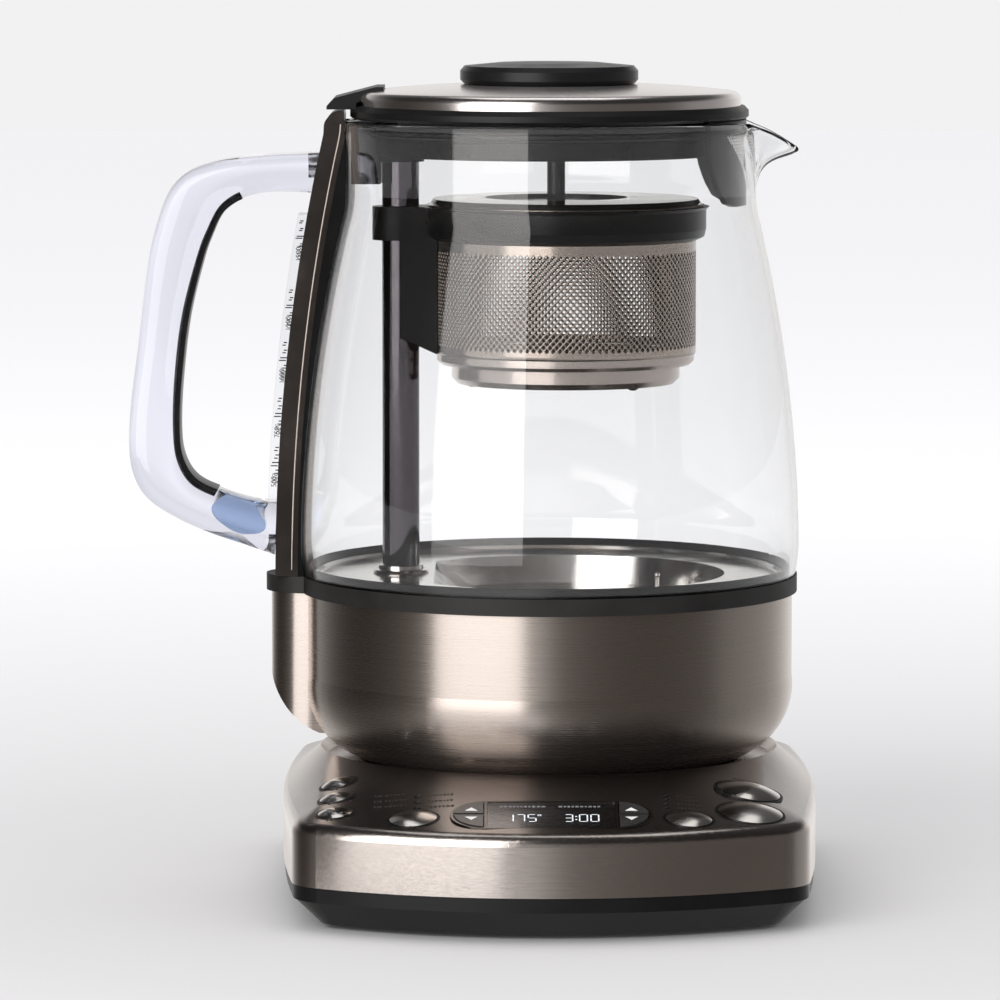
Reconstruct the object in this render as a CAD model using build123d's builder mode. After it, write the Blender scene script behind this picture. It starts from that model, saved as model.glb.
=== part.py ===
"""Electric all in one brewer: a glass jug with a self-lowering tea basket on a powered base with controls.

The origin is on the jug's axis at table level. +Z is up, the controls face -Y, and the handle points to -X.
Sizes are in millimetres.
"""

import os
from math import asin, cos, hypot, pi, radians, sin, sqrt

from build123d import *

os.makedirs("parts", exist_ok=True)

# ---------------------------------------------------------------- driving dimensions
GAP = 0.3  # air between pieces on different bodies
SLIP = 0.08  # radial running clearance on a guide

# base, in plan: four shallow arcs with rounded corners
BASE_FRONT_CORNER = (77.5, -101.4)
BASE_BACK_CORNER = (79.5, 88.0)
BASE_FRONT_Y = -125.5
BASE_BACK_Y = 100.0
BASE_SIDE = (83.5, -5.0)
FRONT_CORNER_R = 16.0
BACK_CORNER_R = 24.0
# base, in height
FOOT_H = 1.2
TRAY_STEP_Z = 9.0
TRAY_TOP_Z = 13.5
TRAY_INSET = 8.8
RIM_Z = 32.0
RIM_R = 4.0
SEAT_RIM_Z = 43.0
SEAT_RIM_R = 72.0
SEAT_R = 70.0
SEAT_Z = 39.6
SKIN = 1.0

# controls: place on the panel and radius of each round button
BUTTONS = {
    "button_power": ((-65.0, -59.5), 5.35),
    "button_keep_warm": ((-65.0, -77.0), 5.35),
    "button_basket": ((-65.0, -94.0), 5.35),
    "button_tea_type": ((-41.4, -105.7), 7.15),
    "button_strength": ((41.2, -106.0), 7.0),
    "button_hot_water": ((60.3, -73.3), 9.85),
    "button_tea": ((60.0, -95.4), 9.85),
}
BUTTON_TRAVEL = 0.6
BEZEL_WALL = 0.6
STEM_R = 1.5
STEM_END = 9.0  # below the panel
LED_R = 1.2
# x, first y, pitch and count of each column of lamps
LED_COLUMNS = [(-52.3, -82.4, 5.2, 3), (-40.4, -85.9, 5.1, 3), (34.7, -85.7, 3.65, 4)]
DISPLAY_Y = -106.0
DISPLAY_SINK = 0.4
DISPLAY_HALF_LENGTH = 30.4
DISPLAY_HALF_HEIGHT = 12.0
LENS_HALF_LENGTH = 19.2
# side and row of each key beside the display lens
DISPLAY_KEYS = {
    "key_temp_up": (-1, 1),
    "key_temp_down": (-1, -1),
    "key_time_up": (1, 1),
    "key_time_down": (1, -1),
}
KEY_PLACE = (LENS_HALF_LENGTH + 4.6, 4.2)
BOARD_Z = 20.0
BOARD_T = 1.6
SWITCH_HALF_W = 2.4

# screws and lead under the base
HOUSING_SCREWS = [(-28, -68), (28, -68), (-58, 68), (58, 68)]
HOUSING_BOSS_Z = FOOT_H + 14.4
LEAD_NOTCH_R = 5.2

# power connector, on the jug's axis
TOWER_R = 10.5
TOWER_TOP_Z = 55.3
SOCKET_R = 22.0

# jug shell
JUG_R = 76.6
JUG_BOTTOM_Z = 40.0
JUG_BOTTOM_R = 58.6
JUG_CURVE_H = 26.2
SHELL_TOP_Z = 92.2
BAND_R = 78.2
BAND_TOP_Z = 97.5
LOBE_R = 13.0  # round end of the housing under the handle
LOBE_X = -74.4
PLATE_Z = 97.4
WELL_X = 4.0
WELL_R = 51.0
WELL_FLOOR_Z = 88.4
WELL_FACET_X = -36.0
ELEMENT_R = 32.0
PROBE = (35.0, 31.0)

# glass
GLASS_T = 1.8
GLASS_RIM_Z = 240.0
NECK_R = 64.8
SPOUT_TIP = (77.6, 230.2)

# post, carriage and basket
POST_X = -46.6
POST_R = 5.85
POST_BORE_R = 4.9
POST_TOP_Z = 229.0
SCREW_R = 2.0
BASKET_X = 5.2
BASKET_R = 40.4
BASKET_TOP_Z = 213.2
BASKET_BAND_Z = 167.0
CUP_R = 35.8
CUP_Z = 157.6
FOOT_R = 2.5
COLLAR_R = 44.1
CARRIER_Z = (202.4, 213.0)
BASKET_WALL = 0.7
LID_STEM_X = 2.2

# handle and its spine
SPINE_HALF_W = 13.0
SPINE_ARC = [(-70.4, 236.0), (-82.0, 166.0), (-85.8, BAND_TOP_Z + 0.05)]
STRAP_DEPTH = 7.0
HANDLE_HALF_W = 10.5
HANDLE_OUTER = [(-62.0, 230.3), (-119.0, 227.0), (-133.7, 121.0), (-76.0, 98.9)]
HANDLE_OUTER_R = [20.0, 19.0]
HANDLE_HOLE = [(-66.0, 218.6), (-102.5, 215.0), (-114.8, 176.0), (-117.6, 128.6), (-70.0, 111.4)]
HANDLE_HOLE_R = [8.0, 60.0, 9.0]
GRIP_T = 3.4
GRIP_HALF_W = 8.9
GRIP_REACH = [
    (-94.5, 226.0),
    (-94.5, 205.0),
    (-107.8, 131.0),
    (-107.8, 105.0),
    (-132.0, 105.0),
    (-132.0, 226.0),
]
# height, underside of the head and tip of each screw that holds the handle to its spine
HANDLE_SCREWS = [(224.0, -67.2, -91.0), (108.0, -80.0, -90.5)]
HANDLE_SCREW_R = 1.9
HANDLE_SCREW_HEAD_R = 3.2
LUG_PLACE = (-97.5, 115.4)
LUG_TILT = -22

# lid
LID_R = 62.5
LID_Z = 240.4
LID_TOP_R = 60.1
SKIRT_R = 54.0
KNOB_R = 27.9
KNOB_TOP_Z = 258.2
FILTER_R = 61.8
MESH_OPENING = dict(widths=(27.0, 12.5), heights=(236.0, 217.6), radius=3.0)

AXIS = Axis((0, 0, 0), (0, 0, 1))


# ---------------------------------------------------------------- helpers
def turned(points, x=0.0):
    """A closed outline of (radius, height) points about the vertical line through x, ready to revolve."""
    with BuildSketch(Plane.XZ.shift_origin((x, 0, 0))) as outline:
        with BuildLine():
            Polyline(*points, close=True)
        make_face()
    return outline.sketch


def side_face(points, radii=None):
    """A closed outline of (x, z) points, with its inner corners rounded where radii are given."""
    with BuildSketch(Plane.XZ) as outline:
        with BuildLine():
            if radii:
                FilletPolyline(*points, radius=radii)
                Line(points[-1], points[0])
            else:
                Polyline(*points, close=True)
        make_face()
    return outline.sketch


def dome_middle(radius, height):
    """The point half way along a shallow dome's arc, from its rim at height 0 to its top on the axis."""
    sphere = (radius * radius + height * height) / (2 * height)
    half = asin(radius / sphere) / 2
    return sphere * sin(half), height - sphere + sphere * cos(half)


def disc(z, radius, x=0.0, y=0.0):
    """A circle at height z, ready to extrude."""
    with BuildSketch(Plane.XY.offset(z)) as face:
        with Locations((x, y)):
            Circle(radius)
    return face.sketch


def block(x, y, z):
    """A box face spanning the x and y ranges at the lower z, and the height to extrude it by."""
    with BuildSketch(Plane.XY.offset(z[0])) as face:
        with Locations(((x[0] + x[1]) / 2, (y[0] + y[1]) / 2)):
            Rectangle(x[1] - x[0], y[1] - y[0])
    return face.sketch, z[1] - z[0]


def vertical(x):
    return Axis((x, 0, 0), (0, 0, 1))


def base_outline(z, inset=0.0):
    """The base's plan at height z, drawn in by inset."""
    front_x, front_y = BASE_FRONT_CORNER
    back_x, back_y = BASE_BACK_CORNER
    with BuildSketch(Plane.XY.offset(z)) as outline:
        with BuildLine():
            ThreePointArc((-front_x, front_y), (0, BASE_FRONT_Y), (front_x, front_y))
            ThreePointArc((front_x, front_y), BASE_SIDE, (back_x, back_y))
            ThreePointArc((back_x, back_y), (0, BASE_BACK_Y), (-back_x, back_y))
            ThreePointArc((-back_x, back_y), (-BASE_SIDE[0], BASE_SIDE[1]), (-front_x, front_y))
        make_face()
        fillet(outline.vertices().group_by(Axis.Y)[0], FRONT_CORNER_R)
        fillet(outline.vertices().group_by(Axis.Y)[-1], BACK_CORNER_R)
        if inset:
            offset(amount=-inset)
    return outline.sketch


def ring_to_match(outline, z, radius):
    """A circle cut into an arc for each edge of the outline, in order, so that a loft runs straight."""

    def on_circle(point):
        r = hypot(point.X, point.Y)
        return (point.X * radius / r, point.Y * radius / r)

    with BuildSketch(Plane.XY.offset(z)) as ring:
        with BuildLine():
            for edge in outline.face().outer_wire().order_edges():
                ThreePointArc(on_circle(edge @ 0), on_circle(edge @ 0.5), on_circle(edge @ 1))
        make_face()
    return ring.sketch


def three_point_circle(a, b, c):
    """Centre and radius of the circle through three points."""
    (ax, ay), (bx, by), (cx, cy) = a, b, c
    d = 2 * (ax * (by - cy) + bx * (cy - ay) + cx * (ay - by))
    a2, b2, c2 = ax * ax + ay * ay, bx * bx + by * by, cx * cx + cy * cy
    x = (a2 * (by - cy) + b2 * (cy - ay) + c2 * (ay - by)) / d
    y = (a2 * (cx - bx) + b2 * (ax - cx) + c2 * (bx - ax)) / d
    return x, y, hypot(ax - x, ay - y)


def lead_disc(behind, radius):
    """A circle facing the front, on the mains lead's centre line, a distance behind the back wall."""
    with BuildSketch(Plane.XZ.offset(-BASE_BACK_Y - behind)) as circle:
        with Locations((0, TRAY_TOP_Z)):
            Circle(radius)
    return circle.sketch


def disc_across(x, z, radius):
    """A circle facing along X, in the middle of the handle's spine."""
    with BuildSketch(Plane.YZ.offset(x)) as circle:
        with Locations((0, z)):
            Circle(radius)
    return circle.sketch


def panel_plane(x, y, sink=0.0):
    """A plane lying on the sloping top at x, y, or sunk below it, with its own x towards the right."""
    hits = sloping_top.part.find_intersection_points(Axis((x, y, 0), (0, 0, 1)))
    point, normal = max(hits, key=lambda hit: hit[0].Z)
    return Plane(origin=point - normal * sink, x_dir=Vector(0, 1, 0).cross(normal), z_dir=normal)


def upright_on(plane):
    """The plane that holds a turned profile about another plane's normal."""
    return Plane(origin=plane.origin, x_dir=plane.x_dir, z_dir=plane.x_dir.cross(plane.z_dir))


def display_outline(plane, inset=0.0):
    """The long oval of the display group: a rectangle with half ellipses at its ends."""
    height = DISPLAY_HALF_HEIGHT - inset
    end = DISPLAY_HALF_LENGTH - LENS_HALF_LENGTH - inset
    with BuildSketch(plane) as oval:
        Rectangle(2 * LENS_HALF_LENGTH, 2 * height)
        for side in (-1, 1):
            with Locations((side * LENS_HALF_LENGTH, 0)):
                Ellipse(end, height)
    return oval.sketch


def key_outline(plane, side, upper, gap):
    """One key of the display group: a quarter of the oval's end, beside the lens."""
    with BuildSketch(plane) as key:
        add(display_outline(Plane.XY, 0.9 + gap))
        width = 14.0
        near = side * (LENS_HALF_LENGTH + 0.9 + gap)
        low = 0.35 + gap
        with Locations((near + side * width / 2, upper * (low + width / 2))):
            Rectangle(width, width, mode=Mode.INTERSECT)
    return key.sketch


def bowed_side(shift, z_low=None, z_high=None):
    """The spine's outer curve, moved towards the jug by shift, between two heights."""
    x, y, r = three_point_circle(*SPINE_ARC)
    z_high = SPINE_ARC[0][1] if z_high is None else z_high
    z_low = SPINE_ARC[2][1] if z_low is None else z_low
    heights = (z_high, (z_high + z_low) / 2, z_low)
    return [(x - sqrt(r * r - (z - y) ** 2) + shift, z) for z in heights]


def spine_section(shift_out, shift_in, z_low=None, z_high=None):
    """The strip between two copies of the spine's outer curve."""
    outer = bowed_side(shift_out, z_low, z_high)
    inner = bowed_side(shift_in, z_low, z_high)
    with BuildSketch(Plane.XZ) as strip:
        with BuildLine():
            ThreePointArc(*outer)
            Line(outer[-1], inner[-1])
            ThreePointArc(*reversed(inner))
            Line(inner[0], outer[0])
        make_face()
    return strip.sketch


def shell_profile(t):
    """The jug shell's outer outline, drawn in by t, as a face to revolve."""
    r, low, foot = JUG_R - t, JUG_BOTTOM_Z + t, JUG_BOTTOM_R - t
    curve_x, curve_z = JUG_R - JUG_BOTTOM_R, JUG_CURVE_H
    middle = (foot + curve_x * sin(pi / 4), low + curve_z * (1 - cos(pi / 4)))
    with BuildSketch(Plane.XZ) as outline:
        with BuildLine():
            Line((0, low), (foot, low))
            ThreePointArc((foot, low), middle, (r, low + curve_z))
            Line((r, low + curve_z), (r, SHELL_TOP_Z))
            Line((r, SHELL_TOP_Z), (0, SHELL_TOP_Z))
            Line((0, SHELL_TOP_Z), (0, low))
        make_face()
    return outline.sketch


def lobe_plan(z, grow=0.0):
    """The plan of the housing under the handle: a tongue with a round end."""
    with BuildSketch(Plane.XY.offset(z)) as plan:
        with Locations((LOBE_X, 0)):
            Circle(LOBE_R + grow)
        with Locations((LOBE_X / 2, 0)):
            Rectangle(-LOBE_X, 2 * (LOBE_R + grow))
    return plan.sketch


def lobe_side(t):
    """The side outline that the tongue is trimmed to: it runs in under the jug at its lower end."""
    with BuildSketch(Plane.XZ) as side:
        with BuildLine():
            Line((0, SHELL_TOP_Z), (LOBE_X - LOBE_R + t, SHELL_TOP_Z))
            Line((LOBE_X - LOBE_R + t, SHELL_TOP_Z), (LOBE_X - LOBE_R + t, 66))
            ThreePointArc((LOBE_X - LOBE_R + t, 66), (-84.2 + t, 58.2 + t / 2), (-72 + t, 48 + t))
            Line((-72 + t, 48 + t), (0, 48 + t))
            Line((0, 48 + t), (0, SHELL_TOP_Z))
        make_face()
    return side.sketch


def glass_profile(t):
    """The glass's outer outline, drawn in by t, as a face to revolve."""
    low = 93.6
    with BuildSketch(Plane.XZ) as outline:
        with BuildLine():
            Line((0, GLASS_RIM_Z), (NECK_R - t, GLASS_RIM_Z))
            Line((NECK_R - t, GLASS_RIM_Z), (NECK_R - t, 217))
            ThreePointArc((NECK_R - t, 217), (65.2 - t, 212), (66.3 - t, 207.4))
            ThreePointArc((66.3 - t, 207.4), (74.8 - t, 161.4), (78.7 - t, 110.5))
            ThreePointArc((78.7 - t, 110.5), (78.5 - t, 103.5), (77.6 - t, BAND_TOP_Z))
            Line((77.6 - t, BAND_TOP_Z), (77.1 - t, low))
            Line((77.1 - t, low), (0, low))
            Line((0, low), (0, GLASS_RIM_Z))
        make_face()
    return outline.sketch


def spout_section(x, half_width, top, low, corner):
    """A vee across the spout at x, rounded at its lowest point."""
    with BuildSketch(Plane.YZ.offset(x)) as vee:
        with BuildLine():
            Polyline((-half_width, top), (half_width, top), (0, low), close=True)
        make_face()
        fillet(vee.vertices().sort_by(Axis.Z)[0], corner)
    return vee.sketch


# ---------------------------------------------------------------- base: housing and cover
with BuildPart() as sloping_top:
    rim = base_outline(RIM_Z)
    loft([rim, ring_to_match(rim, SEAT_RIM_Z, SEAT_RIM_R)], ruled=True)

with BuildPart() as base_bottom_housing:
    extrude(base_outline(TRAY_STEP_Z, 0.5), amount=TRAY_TOP_Z - 0.05 - TRAY_STEP_Z)
    loft([base_outline(FOOT_H, TRAY_INSET), base_outline(TRAY_STEP_Z, 0.9)], ruled=True)
    extrude(base_outline(TRAY_STEP_Z, 3.0), amount=TRAY_TOP_Z - TRAY_STEP_Z, mode=Mode.SUBTRACT)
    tray_floor = base_outline(FOOT_H + 2.2, TRAY_INSET + 1.6)
    loft([tray_floor, base_outline(TRAY_STEP_Z, 3.0)], ruled=True, mode=Mode.SUBTRACT)
    # posts that take the housing screws
    for x, y in HOUSING_SCREWS:
        extrude(disc(FOOT_H + 1.0, 5.0, x, y), amount=13.0)
    for x, y in HOUSING_SCREWS:
        extrude(disc(FOOT_H, 3.4, x, y), amount=3.0, mode=Mode.SUBTRACT)
        extrude(disc(FOOT_H, 1.7, x, y), amount=16.0, mode=Mode.SUBTRACT)
    # groove for the foot ring, and the notch where the mains lead leaves
    groove = [(60.0, FOOT_H), (67.0, FOOT_H), (67.0, FOOT_H + 0.8), (60.0, FOOT_H + 0.8)]
    revolve(turned(groove), axis=AXIS, mode=Mode.SUBTRACT)
    extrude(lead_disc(5.0, LEAD_NOTCH_R), amount=14, mode=Mode.SUBTRACT)

with BuildPart() as base_foot_ring:
    tread = [(60.1, 0.3), (60.4, 0), (66.6, 0), (66.9, 0.3), (66.9, FOOT_H + 0.75), (60.1, FOOT_H + 0.75)]
    revolve(turned(tread), axis=AXIS)

with BuildPart() as base_screws:
    for x, y in HOUSING_SCREWS:
        extrude(disc(FOOT_H + 0.9, 3.1, x, y), amount=2.0)
        extrude(disc(FOOT_H + 2.8, 1.6, x, y), amount=11.0)
    for x, y in HOUSING_SCREWS:
        with BuildSketch(Plane.XY.offset(FOOT_H + 0.9)):
            with Locations((x, y)):
                Rectangle(3.6, 0.8)
                Rectangle(0.8, 3.6)
        extrude(amount=1.0, mode=Mode.SUBTRACT)

display_plane = panel_plane(0, DISPLAY_Y, DISPLAY_SINK)

with BuildPart() as base_top_cover:
    extrude(base_outline(TRAY_TOP_Z), amount=RIM_Z - TRAY_TOP_Z)
    add(sloping_top.part)
    fillet(base_top_cover.edges().filter_by_position(Axis.Z, RIM_Z - 0.01, RIM_Z + 0.01), RIM_R)
    # hollow it, leaving the wall, the rounded rim and the sloping top
    bend_z, top_z, top_inset = RIM_Z - RIM_R, RIM_Z - 0.8, 3.6
    extrude(base_outline(TRAY_TOP_Z, SKIN), amount=bend_z - TRAY_TOP_Z, mode=Mode.SUBTRACT)
    loft([base_outline(bend_z, SKIN), base_outline(top_z, top_inset)], ruled=True, mode=Mode.SUBTRACT)
    under = base_outline(top_z, top_inset)
    loft([under, ring_to_match(under, SEAT_RIM_Z - 1.1, SEAT_RIM_R - 0.5)], ruled=True, mode=Mode.SUBTRACT)
    # the dished seat, with the opening for the power connector
    seat_low, seat_high = SEAT_Z - SKIN, SEAT_RIM_Z - 0.5
    seat = [(0, seat_low), (SEAT_RIM_R + 1.5, seat_low), (SEAT_RIM_R - 0.5, seat_high), (0, seat_high)]
    revolve(turned(seat), axis=AXIS)
    above = SEAT_RIM_Z + 1
    dish = [(0, SEAT_Z), (SEAT_R, SEAT_Z), (SEAT_RIM_R, SEAT_RIM_Z), (SEAT_RIM_R, above), (0, above)]
    revolve(turned(dish), axis=AXIS, mode=Mode.SUBTRACT)
    extrude(disc(SEAT_Z - 2, 20.0), amount=4, mode=Mode.SUBTRACT)
    # openings for the buttons, lamps and display group
    for (x, y), radius in BUTTONS.values():
        with BuildSketch(panel_plane(x, y, 5.0)):
            Circle(radius + GAP + BEZEL_WALL + 0.05)
        extrude(amount=8.0, mode=Mode.SUBTRACT)
    for x, first_y, pitch, count in LED_COLUMNS:
        for row in range(count):
            with BuildSketch(panel_plane(x, first_y - row * pitch, 5.0)):
                Circle(LED_R + 0.05)
            extrude(amount=8.0, mode=Mode.SUBTRACT)
    extrude(display_outline(display_plane.offset(-6.0), -0.1), amount=10.0, mode=Mode.SUBTRACT)
    # notch for the mains lead's gland
    extrude(lead_disc(5.0, LEAD_NOTCH_R), amount=14, mode=Mode.SUBTRACT)
    # bosses that the housing screws bite into
    for x, y in HOUSING_SCREWS:
        boss_height = panel_plane(x, y).origin.Z - 1.0 - HOUSING_BOSS_Z
        extrude(disc(HOUSING_BOSS_Z, 3.6, x, y), amount=boss_height)
        extrude(disc(HOUSING_BOSS_Z, 1.7, x, y), amount=12.0, mode=Mode.SUBTRACT)

with BuildPart() as cord_gland:
    extrude(lead_disc(2.5, 7.0), amount=2.2)
    extrude(lead_disc(0.5, LEAD_NOTCH_R - 0.1), amount=8.0)
    extrude(lead_disc(5.0, 3.6), amount=20.0, mode=Mode.SUBTRACT)

# ---------------------------------------------------------------- base: controls
with BuildPart() as button_bezels:
    for (x, y), radius in BUTTONS.values():
        sleeve = [(radius + GAP, -3.0), (radius + GAP, 0.05), (radius + GAP + BEZEL_WALL, 0.05),
                  (radius + GAP + BEZEL_WALL, -3.0)]
        plane = panel_plane(x, y)
        with BuildSketch(upright_on(plane)):
            with BuildLine():
                Polyline(*sleeve, close=True)
            make_face()
        revolve(axis=Axis(plane.origin, plane.z_dir))


def round_button(x, y, radius):
    """A domed button with a retaining flange under its bezel and a stem down to its switch."""
    plane = panel_plane(x, y)
    dome = 0.16 * radius + 0.45
    middle_r, middle_z = dome_middle(radius, dome)
    with BuildPart() as button:
        with BuildSketch(upright_on(plane)):
            with BuildLine():
                Polyline((0, -STEM_END), (STEM_R, -STEM_END), (STEM_R, -4.3), (radius + 0.7, -4.3),
                         (radius + 0.7, -3.3), (radius, -3.3), (radius, 0.2))
                ThreePointArc((radius, 0.2), (middle_r, 0.2 + middle_z), (0, 0.2 + dome))
                Line((0, 0.2 + dome), (0, -STEM_END))
            make_face()
        revolve(axis=Axis(plane.origin, plane.z_dir))
    return button


round_buttons = {name: round_button(*place, radius) for name, (place, radius) in BUTTONS.items()}

with BuildPart() as display_bezel:
    extrude(display_outline(display_plane.offset(-3.2)), amount=3.5)
    with BuildSketch(display_plane.offset(-4.0)):
        RectangleRounded(2 * LENS_HALF_LENGTH + 0.1, 2 * DISPLAY_HALF_HEIGHT - 1.3, 0.6)
    extrude(amount=5.0, mode=Mode.SUBTRACT)
    for side in (-1, 1):
        for upper in (-1, 1):
            opening = key_outline(display_plane.offset(-4.0), side, upper, 0.0)
            extrude(opening, amount=5.0, mode=Mode.SUBTRACT)

with BuildPart() as display_lens:
    with BuildSketch(display_plane.offset(-1.2)):
        RectangleRounded(2 * LENS_HALF_LENGTH, 2 * DISPLAY_HALF_HEIGHT - 1.4, 0.55)
    extrude(amount=1.35)

with BuildPart() as display_module:
    with BuildSketch(display_plane.offset(-4.6)):
        Rectangle(2 * LENS_HALF_LENGTH - 0.6, 2 * DISPLAY_HALF_HEIGHT - 2.0)
    extrude(amount=3.2)


def display_key(side, upper):
    """A flat key of the display group, on a flange that keeps it in the bezel."""
    with BuildPart() as key:
        extrude(key_outline(display_plane.offset(-3.6), side, upper, 0.3), amount=4.2)
        centre = (side * KEY_PLACE[0], upper * KEY_PLACE[1])
        with BuildSketch(display_plane.offset(-4.6)):
            with Locations(centre):
                Rectangle(6.4, 5.6)
        extrude(amount=1.0)
        with BuildSketch(display_plane.offset(-STEM_END)):
            with Locations(centre):
                Circle(STEM_R)
        extrude(amount=STEM_END - 4.6)
    return key


display_keys = {name: display_key(*place) for name, place in DISPLAY_KEYS.items()}

led_middle_r, led_middle_z = dome_middle(LED_R, 0.45)
with BuildPart() as led_lenses:
    for x, first_y, pitch, count in LED_COLUMNS:
        for row in range(count):
            plane = panel_plane(x, first_y - row * pitch)
            with BuildSketch(upright_on(plane)):
                with BuildLine():
                    Polyline((0, -2.6), (LED_R, -2.6), (LED_R, 0.1))
                    ThreePointArc((LED_R, 0.1), (led_middle_r, 0.1 + led_middle_z), (0, 0.55))
                    Line((0, 0.55), (0, -2.6))
                make_face()
            revolve(axis=Axis(plane.origin, plane.z_dir))


def stem_end(plane, x=0.0, y=0.0):
    """Where a stem standing on a control's plane ends, in the base's own frame."""
    return plane.from_local_coords((x, y, -STEM_END))


stem_ends = [stem_end(panel_plane(*place)) for place, radius in BUTTONS.values()]
for side, upper in DISPLAY_KEYS.values():
    stem_ends.append(stem_end(display_plane, side * KEY_PLACE[0], upper * KEY_PLACE[1]))

with BuildPart() as tact_switches:
    for end in stem_ends:
        across = (end.X - SWITCH_HALF_W, end.X + SWITCH_HALF_W)
        along = (end.Y - SWITCH_HALF_W, end.Y + SWITCH_HALF_W)
        extrude(*block(across, along, (BOARD_Z + BOARD_T, end.Z - BUTTON_TRAVEL - 1.1)))

with BuildPart() as control_board:
    extrude(base_outline(BOARD_Z, 4.0), amount=BOARD_T)
    extrude(*block((-90, 90), (-54, 110), (BOARD_Z, BOARD_Z + BOARD_T)), mode=Mode.SUBTRACT)
    for x, y in HOUSING_SCREWS[:2]:
        extrude(disc(BOARD_Z - 1, 5.2, x, y), amount=4.0, mode=Mode.SUBTRACT)

# ---------------------------------------------------------------- base: power connector
with BuildPart() as base_connector:
    body = [(0, SEAT_Z - 3.6), (26.0, SEAT_Z - 3.6), (26.0, SEAT_Z - 1.1), (19.7, SEAT_Z - 1.1),
            (19.7, SEAT_Z + 0.2), (18.7, SEAT_Z + 0.3), (TOWER_R, SEAT_Z + 0.3),
            (TOWER_R, TOWER_TOP_Z - 1), (TOWER_R - 1, TOWER_TOP_Z), (0, TOWER_TOP_Z)]
    revolve(turned(body), axis=AXIS)
    revolve(turned([(4.4, 45), (7.6, 45), (7.6, TOWER_TOP_Z + 1), (4.4, TOWER_TOP_Z + 1)]), axis=AXIS,
            mode=Mode.SUBTRACT)
    extrude(disc(46, 2.0), amount=10, mode=Mode.SUBTRACT)

with BuildPart() as connector_contacts:
    revolve(turned([(6.8, 45.05), (7.55, 45.05), (7.55, 51), (6.8, 51)]), axis=AXIS)
    revolve(turned([(1.2, 46.05), (1.95, 46.05), (1.95, 52), (1.2, 52)]), axis=AXIS)

# ---------------------------------------------------------------- jug: socket half of the connector
with BuildPart() as jug_socket:
    cup = [(TOWER_R + 0.5, 40.3), (SOCKET_R, 40.3), (SOCKET_R, 43.6), (15.0, 44.6), (15.0, 59.0), (0, 59.0),
           (0, 56.2), (4.9, 56.2), (4.9, 46.6), (6.3, 46.6), (6.3, 56.2), (TOWER_R + 0.5, 56.2)]
    revolve(turned(cup), axis=AXIS)
    extrude(disc(47.0, 0.8), amount=10.0)

# ---------------------------------------------------------------- jug: shell, cover, band
with BuildPart() as jug_shell:
    extrude(lobe_plan(JUG_BOTTOM_Z), amount=SHELL_TOP_Z - JUG_BOTTOM_Z)
    extrude(lobe_side(0.0), amount=2 * LOBE_R, both=True, mode=Mode.INTERSECT)
    revolve(shell_profile(0.0), axis=AXIS)
    with BuildPart(mode=Mode.SUBTRACT):
        extrude(lobe_plan(JUG_BOTTOM_Z, -SKIN), amount=SHELL_TOP_Z - JUG_BOTTOM_Z)
        extrude(lobe_side(SKIN), amount=2 * LOBE_R, both=True, mode=Mode.INTERSECT)
        revolve(shell_profile(SKIN), axis=AXIS)
    extrude(disc(JUG_BOTTOM_Z - 1, 56.6), amount=4, mode=Mode.SUBTRACT)

with BuildPart() as jug_bottom_cover:
    extrude(disc(JUG_BOTTOM_Z + 1.05, 57.4), amount=2.0)
    extrude(disc(JUG_BOTTOM_Z, SOCKET_R + GAP), amount=6, mode=Mode.SUBTRACT)
    # vent slots round the socket
    with BuildSketch(Plane.XY.offset(JUG_BOTTOM_Z)):
        with PolarLocations(40, 8):
            SlotOverall(14, 2.4)
    extrude(amount=6, mode=Mode.SUBTRACT)

with BuildPart() as rubber_band:
    extrude(lobe_plan(SHELL_TOP_Z + 0.05, 1.6), amount=BAND_TOP_Z - SHELL_TOP_Z - 0.05)
    extrude(disc(SHELL_TOP_Z + 0.05, BAND_R), amount=BAND_TOP_Z - SHELL_TOP_Z - 0.05)
    extrude(disc(SHELL_TOP_Z, 73.8), amount=10, mode=Mode.SUBTRACT)
    revolve(turned([(75.2, 93.5), (77.15, 93.5), (77.65, BAND_TOP_Z), (77.65, 99), (75.2, 99)]), axis=AXIS,
            mode=Mode.SUBTRACT)

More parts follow.
